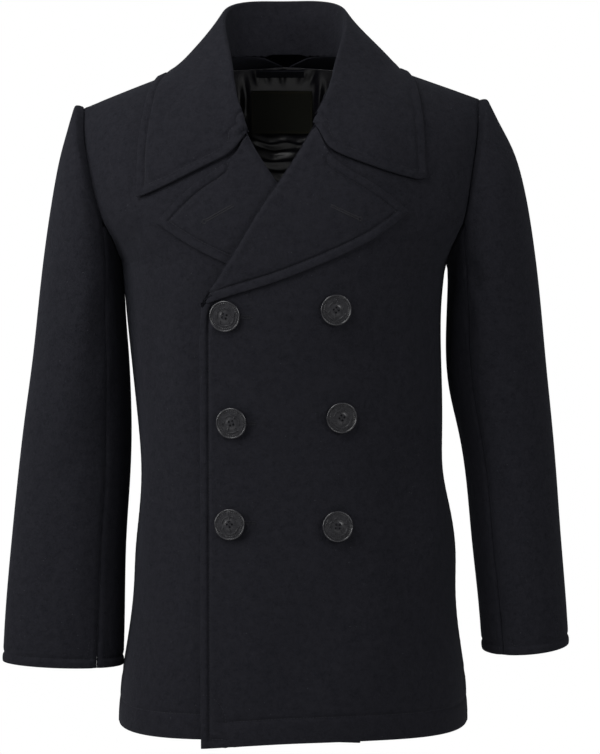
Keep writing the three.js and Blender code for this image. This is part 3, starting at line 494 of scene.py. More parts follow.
# Each list holds the folds of one group, seen from one side. A path's points are x and height,
# and all numbers are in millimetres.
FOLDS = {
    # short creases at the armpit, long ones down the arm and a few across the elbow
    ("left_sleeve", "front"): [
        {"path": [(196, -224), (210, -243), (219, -268)], "width": 7, "depth": -3.2},
        {"path": [(205, -214), (222, -232), (236, -262)], "width": 9, "depth": 2.4},
        {"path": [(192, -252), (204, -280), (208, -322)], "width": 8, "depth": -3.4},
        {"path": [(204, -262), (216, -296), (219, -345)], "width": 9, "depth": 2.6},
        {"path": [(190, -300), (201, -335), (206, -385)], "width": 10, "depth": -2.6},
        {"path": [(222, -330), (232, -400), (236, -470)], "width": 16, "depth": 2.2},
        {"path": [(262, -300), (272, -360), (271, -430)], "width": 18, "depth": -2.4},
        {"path": [(250, -420), (272, -446), (300, -456)], "width": 11, "depth": -2.6},
        {"path": [(236, -452), (262, -470), (288, -476)], "width": 10, "depth": 2.0},
        {"path": [(240, -520), (252, -580), (256, -640)], "width": 15, "depth": 1.8},
        {"path": [(285, -520), (292, -575), (294, -625)], "width": 14, "depth": -1.8},
    ],
    ("right_sleeve", "front"): [
        {"path": [(-197, -250), (-208, -300), (-206, -350)], "width": 10, "depth": -2.6},
        {"path": [(-212, -232), (-226, -272), (-229, -322)], "width": 12, "depth": 2.2},
        {"path": [(-193, -352), (-203, -410), (-206, -470)], "width": 11, "depth": -2.2},
        {"path": [(-240, -330), (-250, -400), (-258, -470)], "width": 20, "depth": 2.2},
        {"path": [(-232, -455), (-256, -478), (-290, -486)], "width": 13, "depth": -2.0},
        {"path": [(-262, -510), (-272, -575), (-282, -640)], "width": 18, "depth": -1.6},
        {"path": [(-226, -520), (-232, -590), (-238, -655)], "width": 15, "depth": 1.6},
    ],
    # creases gather behind the elbow
    ("left_sleeve", "back"): [
        {"path": [(206, -398), (236, -420), (274, -412)], "width": 11, "depth": -3.4},
        {"path": [(210, -440), (240, -452), (282, -440)], "width": 10, "depth": -3.0},
        {"path": [(212, -420), (240, -436), (286, -424)], "width": 9, "depth": 2.6},
        {"path": [(200, -270), (222, -300), (232, -350)], "width": 13, "depth": -3.0},
        {"path": [(262, -500), (270, -560), (272, -620)], "width": 16, "depth": 2.0},
    ],
    ("right_sleeve", "back"): [
        {"path": [(-200, -404), (-232, -430), (-272, -424)], "width": 12, "depth": -3.2},
        {"path": [(-204, -452), (-238, -466), (-280, -452)], "width": 10, "depth": -2.8},
        {"path": [(-206, -430), (-238, -448), (-284, -438)], "width": 9, "depth": 2.4},
        {"path": [(-202, -272), (-220, -310), (-226, -362)], "width": 13, "depth": -2.8},
        {"path": [(-252, -520), (-262, -580), (-270, -640)], "width": 16, "depth": 1.8},
    ],
    # broad falls of cloth below the chest, and a drag towards each armhole
    ("torso", "front"): [
        {"path": [(150, -250), (158, -300), (152, -360)], "width": 16, "depth": -3.0},
        {"path": [(128, -262), (136, -330), (134, -400)], "width": 20, "depth": 2.2},
        {"path": [(172, -330), (168, -400), (176, -470)], "width": 16, "depth": 2.4},
        {"path": [(118, -440), (132, -530), (128, -620)], "width": 22, "depth": -3.0},
        {"path": [(156, -470), (166, -540), (160, -610)], "width": 20, "depth": 3.0},
        {"path": [(96, -560), (104, -640), (98, -720)], "width": 22, "depth": 2.2},
        {"path": [(20, -590), (26, -660), (18, -735)], "width": 26, "depth": -2.0},
        {"path": [(-142, -262), (-150, -320), (-146, -390)], "width": 18, "depth": -2.8},
        {"path": [(-118, -300), (-122, -380), (-116, -450)], "width": 18, "depth": 2.0},
        {"path": [(-150, -440), (-160, -520), (-152, -600)], "width": 20, "depth": 2.6},
        {"path": [(-120, -500), (-126, -590), (-120, -680)], "width": 20, "depth": -2.4},
        {"path": [(-40, -620), (-34, -680), (-40, -740)], "width": 22, "depth": 1.6},
        {"path": [(140, -150), (160, -178), (176, -206)], "width": 12, "depth": -2.0},
        {"path": [(-150, -176), (-166, -196), (-178, -218)], "width": 11, "depth": -1.6},
    ],
    # a long shallow hollow each side of the seam, drags at the armholes, soft falls below
    ("torso", "back"): [
        {"path": [(60, -150), (66, -260), (58, -370)], "width": 26, "depth": -3.2},
        {"path": [(-64, -160), (-72, -270), (-62, -380)], "width": 26, "depth": -3.0},
        {"path": [(132, -190), (112, -250), (104, -330)], "width": 17, "depth": -3.4},
        {"path": [(-138, -186), (-116, -246), (-110, -330)], "width": 17, "depth": -3.2},
        {"path": [(148, -210), (136, -290), (134, -370)], "width": 14, "depth": 2.6},
        {"path": [(-150, -214), (-140, -290), (-138, -380)], "width": 14, "depth": 2.4},
        {"path": [(88, -460), (96, -570), (104, -700)], "width": 22, "depth": -3.0},
        {"path": [(-80, -480), (-92, -590), (-98, -710)], "width": 22, "depth": -3.2},
        {"path": [(40, -520), (36, -620), (44, -720)], "width": 20, "depth": 2.4},
        {"path": [(-34, -500), (-40, -610), (-36, -725)], "width": 20, "depth": 2.4},
        {"path": [(-150, -470), (-154, -560), (-146, -650)], "width": 18, "depth": 2.6},
        {"path": [(150, -450), (158, -540), (150, -640)], "width": 18, "depth": 2.6},
        {"path": [(-40, -58), (0, -66), (44, -56)], "width": 13, "depth": -1.8},
    ],
    # the fall swells where it leaves the fold and dips before its corners
    ("collar", "front"): [
        {"path": [(-100, 6), (-112, -30), (-128, -70)], "width": 16, "depth": -2.2},
        {"path": [(-84, -60), (-104, -90), (-126, -120)], "width": 14, "depth": 1.6},
        {"path": [(96, 8), (108, -28), (116, -70)], "width": 15, "depth": -1.8},
        {"path": [(78, -52), (98, -80), (120, -104)], "width": 14, "depth": 1.6},
    ],
    ("collar", "back"): [
        {"path": [(-64, 30), (-70, 6), (-78, -20)], "width": 14, "depth": 1.8},
        {"path": [(30, 34), (34, 8), (30, -18)], "width": 13, "depth": -1.5},
    ],
}


def surface_tree(pieces):
    """One search tree over the surfaces of several pieces."""
    places = []
    faces = []
    for piece in pieces:
        start = len(places)
        places += [tuple(p) for p in vertex_values(piece, "co")]
        faces += [tuple(start + k for k in face.vertices) for face in piece.data.polygons]
    return BVHTree.FromPolygons(places, faces)


def path_on(tree, seen, path, step=5 * MM):
    """Lays a path, given as seen from the front or the back, on the surface."""
    start = VIEWS[seen]
    laid = []
    for x, height in spread_path(np.array(path) * MM, step):
        hit = tree.ray_cast(Vector((x, start, height)), Vector((0, -start, 0)))[0]
        if hit is not None:
            laid.append(hit)
    return np.array(laid)


def fold_height(points, path, width, depth):
    """How far each point moves for one fold: full in the middle, nothing past its ends."""
    low, high = path.min(0) - 3 * width, path.max(0) + 3 * width
    near = np.where(np.all((points > low) & (points < high), axis=1))[0]
    height = np.zeros(len(points))
    if len(near) == 0:
        return height
    gap = np.linalg.norm(points[near][:, None, :] - path[None, :, :], axis=2)
    closest = gap.argmin(1)
    along = closest / max(1, len(path) - 1)
    ends = np.sin(np.pi * np.clip(along, 0.02, 0.98)) ** 0.7
    height[near] = depth * ends * np.exp(-((gap.min(1) / width) ** 2))
    return height


for group, names in GROUPS.items():
    tree = surface_tree([cloths[name] for name in names])
    points = {name: vertex_values(cloths[name], "co") for name in names}
    moved = {name: np.zeros(len(points[name])) for name in names}
    count = 0
    for seen in VIEWS:
        for fold in FOLDS[group, seen]:
            path = path_on(tree, seen, fold["path"])
            count += 1
            for name in names:
                moved[name] += fold_height(points[name], path, fold["width"] * MM, fold["depth"] * MM)
    for name in names:
        set_points(cloths[name], points[name] + outward[name] * moved[name][:, None])
    print(group, count, "folds")

# %% [markdown]
# Worn cloth is never even. A slow, low waviness keeps its long surfaces from looking machined.
# It is made of a few sine waves with fixed lengths and directions, so it is the same each time.

# %% Slow waviness
# A half wave is as long as given, in metres along x, y and z; phases are in half turns, and
# heights in millimetres.
WAVES = [
    {"length": (0.31, 0.27, 0.23), "phase": 0.4, "height": 0.9},
    {"length": (-0.17, 0.21, 0.29), "phase": 2.1, "height": 0.7},
    {"length": (0.13, -0.19, 0.15), "phase": 4.0, "height": 0.5},
    {"length": (0.09, 0.11, -0.12), "phase": 1.2, "height": 0.3},
]


def waviness(points):
    total = np.zeros(len(points))
    for wave in WAVES:
        half_turns = (points / np.array(wave["length"])).sum(1) + wave["phase"]
        total += wave["height"] * MM * np.sin(np.pi * half_turns)
    return total


for name, cloth in cloths.items():
    points = vertex_values(cloth, "co")
    set_points(cloth, points + outward[name] * waviness(points)[:, None])
print("waviness up to", sum(wave["height"] for wave in WAVES), "mm")

# %% [markdown]
# Sewn pieces meet edge to edge. Each rim point moves half way to the neighbour's rim, and the
# cloth close to it follows, so no light comes through a seam and its line stays a soft valley.

# %% Closing the seams
SEAMS = [
    ("left_front", "left_back"), ("right_front", "right_back"), ("left_back", "right_back"),
    ("left_front", "left_top_sleeve"), ("left_front", "left_under_sleeve"),
    ("left_back", "left_top_sleeve"), ("left_back", "left_under_sleeve"),
    ("left_top_sleeve", "left_under_sleeve"),
    ("right_front", "right_top_sleeve"), ("right_front", "right_under_sleeve"),
    ("right_back", "right_top_sleeve"), ("right_back", "right_under_sleeve"),
    ("right_top_sleeve", "right_under_sleeve"),
    ("collar", "left_back"), ("collar", "right_back"), ("collar", "left_front"), ("collar", "right_front"),
    ("left_front", "left_lapel"), ("right_front", "right_lapel"),
]
SEAM_REACH = 5.5 * MM
SEAM_SHARE = 0.53  # a little over half way, so that the two rims press together
SEAM_FOLLOW = 12 * MM

rim_points = {name: vertex_values(cloths[name], "co")[rims[name]] for name in cloths}
partners = {name: [] for name in cloths}
for first, second in SEAMS:
    partners[first].append(second)
    partners[second].append(first)


def blend_nearest(tree, values, place, count):
    """Mean of the values at the nearest few points, the closest counting most."""
    close = tree.find_n(place, count)
    weights = np.array([1.0 / (found[2] + 0.3 * MM) ** 2 for found in close])
    return (values[[found[1] for found in close]] * weights[:, None]).sum(0) / weights.sum()


def pull_to_partners(name):
    """Places of the rim points that are sewn, and the move of each towards its partner's rim."""
    others = np.concatenate([rim_points[other] for other in partners[name]])
    other_tree = tree_of(others)
    places = []
    pulls = []
    for place in rim_points[name]:
        if other_tree.find(place)[2] < SEAM_REACH:
            places.append(place)
            pulls.append((blend_nearest(other_tree, others, place, 4) - place) * SEAM_SHARE)
    return np.array(places), np.array(pulls)


def follow_seam(name, places, pulls):
    """Moves the rim all the way and the cloth beside it less and less; gives the distances."""
    points = vertex_values(cloths[name], "co")
    gaps = np.full(len(points), FAR)
    sewn_tree = tree_of(places)
    coarse = set(map(tuple, np.floor(places / SEAM_FOLLOW).astype(int)))
    steps = [(i, j, k) for i in (-1, 0, 1) for j in (-1, 0, 1) for k in (-1, 0, 1)]
    near = {(a + i, b + j, c + k) for a, b, c in coarse for i, j, k in steps}
    cells = np.floor(points / SEAM_FOLLOW).astype(int)
    for index, cell in enumerate(map(tuple, cells)):
        if cell not in near:
            continue
        gaps[index] = sewn_tree.find(points[index])[2]
        if gaps[index] < SEAM_FOLLOW:
            share = (1 - gaps[index] / SEAM_FOLLOW) ** 2
            points[index] += blend_nearest(sewn_tree, pulls, points[index], 6) * share
    set_points(cloths[name], points)
    return gaps


seam_gaps = {}
pulls_of = {name: pull_to_partners(name) for name in cloths}
for name, (places, pulls) in pulls_of.items():
    seam_gaps[name] = follow_seam(name, places, pulls)
    longest = np.linalg.norm(pulls, axis=1).max() / MM
    print(name, len(places), "rim points sewn, longest move", round(float(longest), 1), "mm")

# %% [markdown]
# Thick wool never lies flat at a seam: the cloth rolls down into it on both sides. The sleeve
# heads are also eased in fuller than their armholes, so they stand up in a rounded rope.

# %% Valleys at the seams and full sleeve heads
VALLEY_DEPTH = 1.1 * MM
VALLEY_WIDTH = 2.2 * MM
ROLL_HEIGHT = 0.5 * MM
ROPE_HEIGHT = 1.2 * MM

for name, cloth in cloths.items():
    points = vertex_values(cloth, "co")
    normals = vertex_values(cloth, "normal")
    gaps = seam_gaps[name]
    facing = np.clip(2 * (normals * outward[name]).sum(1), 0, 1)
    height = ROLL_HEIGHT * np.exp(-(((gaps - 6 * MM) / (3.5 * MM)) ** 2)) * facing
    height -= VALLEY_DEPTH * np.exp(-((gaps / VALLEY_WIDTH) ** 2)) * facing
    if name.endswith("top_sleeve"):
        head = smooth_share(-0.175, -0.110, points[:, 2])
        height += ROPE_HEIGHT * np.exp(-(((gaps - 7 * MM) / (5 * MM)) ** 2)) * head
    set_points(cloth, points + outward[name] * height[:, None])
print("seam valleys on", len(cloths), "pieces")

# %% [markdown]
# Near its edges the coat is stitched through all its layers. The stitching sinks a groove and
# the cloth between groove and edge stands up as a soft welt. The distance from each point to the
# free edge gives both: a narrow trough at the stitch line and a low swelling on either side.

# %% Edges that are stitched
COLLAR_NECK = {"half_width": 0.075, "half_depth": 0.095, "middle": 0.010}


def far_from(name, others, gap):
    """Rim points of a piece that are at least the gap away from the rims it is sewn to."""
    other_tree = tree_of(np.concatenate([rim_points[other] for other in others]))
    return np.array([place for place in rim_points[name] if other_tree.find(place)[2] > gap])


def collar_edge():
    x, y = rim_points["collar"][:, 0], rim_points["collar"][:, 1]
    ring = np.hypot(x / COLLAR_NECK["half_width"], (y - COLLAR_NECK["middle"]) / COLLAR_NECK["half_depth"])
    limit = 1.15 + 0.22 * np.clip((-y - 0.020) / 0.070, 0, 1)
    return rim_points["collar"][ring > limit]


def part_of_rim(name, chosen):
    x, y, z = rim_points[name].T
    return rim_points[name][chosen(x, y, z)]


HEM_TOP = -0.735
CUFF_TOP = {"left": -0.640, "right": -0.655}
EDGES = [
    {"piece": "collar", "rim": collar_edge(), "line": 9.5, "groove": 1.3, "width": 1.6, "puff": 0.7},
    {"piece": "left_lapel", "rim": far_from("left_lapel", ["left_front", "collar"], 8 * MM),
     "line": 9.5, "groove": 1.3, "width": 1.5, "puff": 0.7},
    {"piece": "right_lapel", "rim": far_from("right_lapel", ["right_front", "collar"], 8 * MM),
     "line": 9.5, "groove": 1.2, "width": 1.5, "puff": 0.6},
    {"piece": "left_front", "rim": part_of_rim("left_front", lambda x, y, z: (x < -0.070) & (z < -0.262)),
     "line": 9.5, "groove": 1.5, "width": 2.0, "puff": 0.6},
    {"piece": "left_front", "rim": part_of_rim("left_front", lambda x, y, z: z < HEM_TOP),
     "line": 28.0, "groove": 0.6, "width": 2.6, "puff": 0.3},
    {"piece": "right_front", "rim": part_of_rim("right_front", lambda x, y, z: z < HEM_TOP),
     "line": 28.0, "groove": 0.6, "width": 2.6, "puff": 0.3},
    {"piece": "left_back", "rim": part_of_rim("left_back", lambda x, y, z: z < HEM_TOP),
     "line": 28.0, "groove": 0.6, "width": 2.6, "puff": 0.3},
    {"piece": "right_back", "rim": part_of_rim("right_back", lambda x, y, z: z < HEM_TOP),
     "line": 28.0, "groove": 0.6, "width": 2.6, "puff": 0.3},
]
for side, top in CUFF_TOP.items():
    for kind in ("top", "under"):
        name = side + "_" + kind + "_sleeve"
        EDGES.append({"piece": name, "rim": part_of_rim(name, lambda x, y, z: z < top),
                      "line": 10.5, "groove": 0.7, "width": 2.2, "puff": 0.4})


def quads_of(piece):
    """Corners of every face; a subdivided piece has only four-sided faces."""
    corners = np.zeros(len(piece.data.loops), int)
    piece.data.loops.foreach_get("vertex_index", corners)
    return corners.reshape(-1, 4)


def edge_reach(piece, rim, limit):
    """Distance of each point from a free edge, and FAR where it is past the limit."""
    points = vertex_values(piece, "co")
    reach = np.full(len(points), FAR)
    rim_tree = tree_of(rim)
    near = np.all((points > rim.min(0) - limit) & (points < rim.max(0) + limit), axis=1)
    for index in np.where(near)[0]:
        reach[index] = rim_tree.find(points[index])[2]
    reach[reach > limit] = FAR
    return reach


def welt_height(reach, row):
    line, width = row["line"] * MM, row["width"] * MM
    groove = -row["groove"] * np.exp(-(((reach - line) / width) ** 2))
    inside = np.clip(reach / line, 0, 1)
    puff = row["puff"] * np.sin(np.pi * inside) ** 0.8
    swell = 0.5 * row["puff"] * np.exp(-(((reach - line - 5 * MM) / (4 * MM)) ** 2))
    return (groove + puff + swell) * MM


for row in EDGES:
    cloth = cloths[row["piece"]]
    row["reach"] = edge_reach(cloth, row["rim"], (row["line"] + 14) * MM)
    normals = vertex_values(cloth, "normal")
    facing = np.clip(2 * (normals * outward[row["piece"]]).sum(1), 0, 1)
    row["facing"] = facing
    height = np.where(row["reach"] < FAR, welt_height(row["reach"], row), 0.0) * facing
    row["normals"] = normals
    row["height"] = height
for row in EDGES:
    cloth = cloths[row["piece"]]
    set_points(cloth, vertex_values(cloth, "co") + row["normals"] * row["height"][:, None])
print(len(EDGES), "stitched edges")

# %% [markdown]
# Each line of stitching follows a line of equal distance from the edge. The line is found by
# walking from face to face across the mesh, and short threads are laid along it. One thread is
# modelled and then copied, and the copies on one cut piece are a single mesh.

# %% Stitch lines
CHAIN_SMOOTHING = 4  # rounds that take the small zigzags out of a chain
SHORTEST_CHAIN = 6  # points; shorter scraps of line carry no stitching


def equal_lines(piece, values, level, allowed):
    """Chains of places and normals where the values pass the level on the allowed faces."""
    points = vertex_values(piece, "co")
    normals = vertex_values(piece, "normal")
    quads = quads_of(piece)
    above = values > level
    usable = allowed & (values < FAR)
    mixed = above[quads].any(1) & ~above[quads].all(1) & usable[quads].all(1)
    links = {}
    for quad in quads[mixed]:
        crossed = []
        for a, b in zip(quad, np.roll(quad, -1)):
            if above[a] != above[b]:
                crossed.append((min(a, b), max(a, b)))
        if len(crossed) == 2:
            links.setdefault(crossed[0], []).append(crossed[1])
            links.setdefault(crossed[1], []).append(crossed[0])
    ends = sorted(key for key in links if len(links[key]) == 1)
    unused = set(links)
    chains = []
    for start in ends + sorted(links):
        if start not in unused:
            continue
        chain = [start]
        unused.discard(start)
        while True:
            ahead = [key for key in links[chain[-1]] if key in unused]
            if not ahead:
                break
            chain.append(ahead[0])
            unused.discard(ahead[0])
        if len(chain) > SHORTEST_CHAIN:
            a, b = np.array(chain).T
            share = ((level - values[a]) / (values[b] - values[a]))[:, None]
            places = points[a] + (points[b] - points[a]) * share
            chains.append((places, unit(normals[a] + normals[b])))
    return chains


def evenly(places, normals, step):
    """Places, directions and normals at an even step along a chain."""
    for _ in range(CHAIN_SMOOTHING):
        places = places.copy()
        places[1:-1] = (places[:-2] + 2 * places[1:-1] + places[2:]) / 4
    length = np.concatenate([[0], np.cumsum(np.linalg.norm(np.diff(places, axis=0), axis=1))])
    at = np.arange(step, length[-1] - step, step)
    if len(at) == 0:
        return []
    middle = np.stack([np.interp(at, length, places[:, k]) for k in range(3)], 1)
    ahead = np.stack([np.interp(at + 0.4 * step, length, places[:, k]) for k in range(3)], 1)
    out = np.stack([np.interp(at, length, normals[:, k]) for k in range(3)], 1)
    return list(zip(middle, unit(ahead - middle), unit(out)))


def make_thread_form():
    """One short thread, a unit long, lying along X with Z up."""
    bpy.ops.object.select_all(action="DESELECT")
    bpy.ops.mesh.primitive_uv_sphere_add(segments=6, ring_count=4, radius=0.5, rotation=(0, math.pi / 2, 0))
    form = bpy.context.object
    bpy.ops.object.transform_apply(location=False, rotation=True, scale=False)
    points = vertex_values(form, "co")
    faces = [tuple(face.vertices) for face in form.data.polygons]
    bpy.data.objects.remove(form, do_unlink=True)
    return points, faces


THREAD_POINTS, THREAD_FACES = make_thread_form()


def lay_threads(name, spots, material, slot):
    """One mesh of threads, each with its place, direction, outward side and its three sizes."""
    places = []
    faces = []
    for middle, along, out, size in spots:
        across = np.cross(out, along)
        axes = np.array([along * size[0], across * size[1], out * size[2]])
        start = len(places) * len(THREAD_POINTS)
        places.append(middle + THREAD_POINTS @ axes)
        faces += [tuple(start + k for k in face) for face in THREAD_FACES]
    mesh = bpy.data.meshes.new(name)
    mesh.from_pydata(np.concatenate(places).tolist(), [], faces)
    threads = bpy.data.objects.new(name, mesh)
    SCENE.collection.objects.link(threads)
    print(name, len(spots), "threads")
    return finish_piece(threads, material, slot)


STITCH_STEP = 3.5 * MM
STITCH_SIZE = (2.7 * MM, 0.62 * MM, 0.50 * MM)
chance = random.Random(11)
stitches = {name: [] for name in cloths}
for row in EDGES:
    cloth = cloths[row["piece"]]
    for places, normals in equal_lines(cloth, row["reach"], row["line"] * MM, row["facing"] > 0.3):
        for middle, along, out in evenly(places, normals, STITCH_STEP):
            length = STITCH_SIZE[0] * chance.uniform(0.92, 1.08)
            size = (length, STITCH_SIZE[1], STITCH_SIZE[2])
            stitches[row["piece"]].append((middle + out * 0.05 * MM, along, out, size))

# %% [markdown]
# A buttonhole is a slit whose two lips are bound with close stitches. The three working ones lie
# level on the outer front beside the buttons, and each lapel has one that slants to its point,
# with a round eye at the outer end. All their threads are copies of the one short form.

# %% Buttonholes
BUTTONHOLES = [
    {"piece": "left_front", "start": (-70, -287), "end": (-38, -288), "eye": False},
    {"piece": "left_front", "start": (-65, -405), "end": (-33, -406), "eye": False},
    {"piece": "left_front", "start": (-66, -517), "end": (-34, -516), "eye": False},
    {"piece": "left_lapel", "start": (49, -166), "end": (79, -180), "eye": True},
    {"piece": "right_lapel", "start": (-58, -166), "end": (-88, -183), "eye": True},
]
LIP_STEP = 0.62 * MM
LIP_OFFSET = 1.05 * MM
LIP_SIZE = (2.1 * MM, 0.62 * MM, 0.60 * MM)
BAR_SIZE = (2.9 * MM, 0.62 * MM, 0.60 * MM)
EYE_RADIUS = 1.7 * MM
EYE_THREADS = 20


def thread_on_front(tree, x, z, lie, lift, size):
    """One thread laid on the cloth straight behind a point of the front, or none past its edge."""
    hit, out, _, _ = tree.ray_cast(Vector((x, -1.0, z)), Vector((0, 1, 0)))
    if hit is None:
        return []
    out = np.array(out)
    lie = np.array((lie[0], 0.0, lie[1]))
    lie = unit((lie - out * (lie @ out))[None, :])[0]
    return [(np.array(hit) + out * lift * MM, lie, out, size)]


def buttonhole_threads(row):
    tree = surface_tree([cloths[row["piece"]]])
    start, end = np.array(row["start"]) * MM, np.array(row["end"]) * MM
    length = np.linalg.norm(end - start)
    along = (end - start) / length
    across = np.array((-along[1], along[0]))
    spots = []
    for k in range(int(length / LIP_STEP)):
        for side in (-1, 1):
            x, z = start + along * k * LIP_STEP + across * side * LIP_OFFSET
            lie = across + 0.12 * side * along
            spots += thread_on_front(tree, x, z, lie, chance.uniform(0.0, 0.15), LIP_SIZE)
    if row["eye"]:
        for k in range(EYE_THREADS):
            angle = 2 * math.pi * k / EYE_THREADS
            ray = np.array((math.cos(angle), math.sin(angle)))
            x, z = end + along * EYE_RADIUS + ray * (EYE_RADIUS + 0.5 * MM)
            spots += thread_on_front(tree, x, z, ray, 0.1, LIP_SIZE)
    else:
        for k in (-1, 0, 1):
            x, z = end + across * k * 0.7 * MM
            spots += thread_on_front(tree, x, z, across, 0.2, BAR_SIZE)
    return spots


for row in BUTTONHOLES:
    stitches[row["piece"]] += buttonhole_threads(row)
for name, spots in stitches.items():
    if spots:
        lay_threads(name + "_stitches", spots, navy_thread, "melton")

# %% [markdown]
# The cut pieces are now finished cloth. The facing of the lapels, the turned collar and the
# rest share one material, as they are cut from one bolt.

# %% Finish the cut pieces
for name, cloth in cloths.items():
    finish_piece(cloth, melton, "melton", name)
print(len(cloths), "cut pieces finished")

# %% [markdown]
# Inside the neck a satin lining shows. It is sewn in with a little spare cloth, so it puckers
# beside the label and sags in soft rolls below it. The label is a flat bare patch with a thin
# gold line of stitches round it, and the hanger loop is a strip of the coat's own wool.

# %% Lining, label and hanger loop
LINING_FOLDS = [
    {"path": [(-3, -6), (-4, -18), (-4, -30)], "width": 3.0, "depth": -2.2},
    {"path": [(-30, -10), (-24, -20), (-20, -30)], "width": 3.5, "depth": 2.0},
    {"path": [(-38, -12), (-34, -24), (-33, -31)], "width": 3.0, "depth": -2.0},
    {"path": [(24, -10), (20, -20), (16, -30)], "width": 3.5, "depth": 2.2},
    {"path": [(36, -12), (31, -22), (27, -31)], "width": 3.0, "depth": -2.0},
    {"path": [(-50, -20), (-47, -45), (-49, -75)], "width": 3.5, "depth": 3.0},
    {"path": [(-57, -30), (-55, -55), (-58, -85)], "width": 3.5, "depth": -2.5},
    {"path": [(-48, -60), (-52, -82), (-44, -98)], "width": 3.0, "depth": -2.4},
    {"path": [(40, -22), (39, -50), (42, -78)], "width": 3.5, "depth": 3.0},
    {"path": [(48, -26), (47, -52), (50, -84)], "width": 3.5, "depth": -2.6},
    {"path": [(-46, -92), (-20, -100), (6, -97)], "width": 4.0, "depth": 4.2},
    {"path": [(-40, -101), (-14, -110), (14, -106)], "width": 4.0, "depth": -3.2},
    {"path": [(-10, -94), (14, -100), (44, -94)], "width": 4.0, "depth": 3.4},
    {"path": [(-44, -114), (-16, -121), (18, -117)], "width": 5.0, "depth": 4.4},
    {"path": [(-34, -130), (-6, -134), (26, -128)], "width": 5.0, "depth": -3.4},
    {"path": [(-30, -143), (0, -147), (34, -140)], "width": 5.5, "depth": 4.0},
]


def pucker(lining):
    """Moves the lining towards or away from the wearer."""
    tree = surface_tree([lining])
    points = vertex_values(lining, "co")
    moved = np.zeros(len(points))
    for fold in LINING_FOLDS:
        path = path_on(tree, "front", fold["path"], 1 * MM)
        if len(path) > 1:
            moved += fold_height(points, path, fold["width"] * MM, fold["depth"] * MM)
    set_points(lining, points - np.array((0.0, 1.0, 0.0)) * moved[:, None])


lining = cloth_form("back_lining", 3, 0.3 * MM)
pucker(lining)
finish_piece(lining, satin, "satin", "back_lining")
label = cloth_form("neck_label", 2, 0.2 * MM)
hanger = cloth_form("hanger_loop", 2, 0.4 * MM)
print("lining", len(lining.data.polygons), "faces")

LABEL_BORDER = {"left": -39.4, "right": 29.6, "top": -39.8, "foot": -86.0}  # millimetres
BORDER_STEP = 2.3 * MM
BORDER_SIZE = (2.0 * MM, 0.30 * MM, 0.25 * MM)


def border_threads():
    tree = surface_tree([label])
    left, right, top, foot = (LABEL_BORDER[key] * MM for key in ("left", "right", "top", "foot"))
    corners = [(left, top), (right, top), (right, foot), (left, foot), (left, top)]
    spots = []
    for start, end in zip(corners[:-1], corners[1:]):
        start, end = np.array(start), np.array(end)
        length = np.linalg.norm(end - start)
        along = (end - start) / length
        for k in range(1, int(length / BORDER_STEP)):
            x, z = start + along * k * BORDER_STEP
            spots += thread_on_front(tree, x, z, along, 0.0, BORDER_SIZE)
    return spots


label_threads = lay_threads("label_stitches", border_threads(), gold_thread, "label")
finish_piece(label, label_weave, "label", "neck_label")
finish_piece(hanger, melton, "melton", "hanger_loop")

# %% [markdown]
# A pea coat button is a heavy moulded disc. Its face is dished inside a raised rim, four holes
# sit close in the middle, and the sunk face carries a plain anchor with a rope ring round it.
# The disc is turned from a profile, the holes are bored, and the relief is laid on as thin tubes.
# It is modelled once, lying flat, and each copy is moved to its seat with its own turn.

# %% The button
BUTTON = {"thick": 4.2, "hole_circle": 2.75, "hole_radius": 1.15}  # millimetres
HALF = BUTTON["thick"] / 2
FACE = HALF - 1.05
# Half the section of the disc, as radius and height: its back, its rim, then its dished face.
PROFILE = [
    (0.0, -HALF), (12.5, -HALF), (15.6, -HALF + 0.5),
    (16.7, -0.6), (17.0, 0.4), (16.9, HALF - 0.5), (16.5, HALF - 0.1),
    (16.1, HALF), (15.7, HALF - 0.15), (15.4, HALF - 0.6),
    (15.0, FACE), (10.0, FACE - 0.1), (5.6, FACE - 0.15),
    (5.0, FACE + 0.15), (4.4, FACE + 0.25), (2.0, FACE + 0.1), (0.0, FACE + 0.05),
]


def turned_disc():
    mesh = bpy.data.meshes.new("button_disc")
    rows = [(r * MM, 0.0, z * MM) for r, z in PROFILE]
    mesh.from_pydata(rows, [(k, k + 1) for k in range(len(rows) - 1)], [])
    disc = bpy.data.objects.new("button_disc", mesh)
    SCENE.collection.objects.link(disc)
    apply_modifier(disc, "SCREW", axis="Z", steps=72, render_steps=72, use_merge_vertices=True,
                   use_normal_calculate=True, merge_threshold=0.01 * MM)
    select_only(disc)
    bpy.ops.object.mode_set(mode="EDIT")
    bpy.ops.mesh.select_all(action="SELECT")
    bpy.ops.mesh.normals_make_consistent(inside=False)
    bpy.ops.object.mode_set(mode="OBJECT")
    return disc


def bore_holes(disc):
    bpy.ops.object.select_all(action="DESELECT")
    drills = []
    for k in range(4):
        angle = math.pi / 2 * k
        ring = BUTTON["hole_circle"] * MM
        place = (ring * math.cos(angle), ring * math.sin(angle), 0)
        bpy.ops.mesh.primitive_cylinder_add(
            vertices=20, radius=BUTTON["hole_radius"] * MM, depth=12 * MM, location=place
        )
        drills.append(bpy.context.object)
    for drill in drills:
        drill.select_set(True)
    bpy.ops.object.join()
    tool = bpy.context.object
    select_only(disc)
    modifier = disc.modifiers.new("bore", "BOOLEAN")
    modifier.operation = "DIFFERENCE"
    modifier.solver = "EXACT"
    modifier.object = tool
    bpy.ops.object.modifier_apply(modifier="bore")
    bpy.data.objects.remove(tool, do_unlink=True)


def arc(radius, start, end, middle=(0.0, 0.0), count=14):
    """Places along an arc, in millimetres and degrees."""
    angles = np.radians(np.linspace(start, end, count))
    return [(middle[0] + radius * math.cos(a), middle[1] + radius * math.sin(a)) for a in angles]


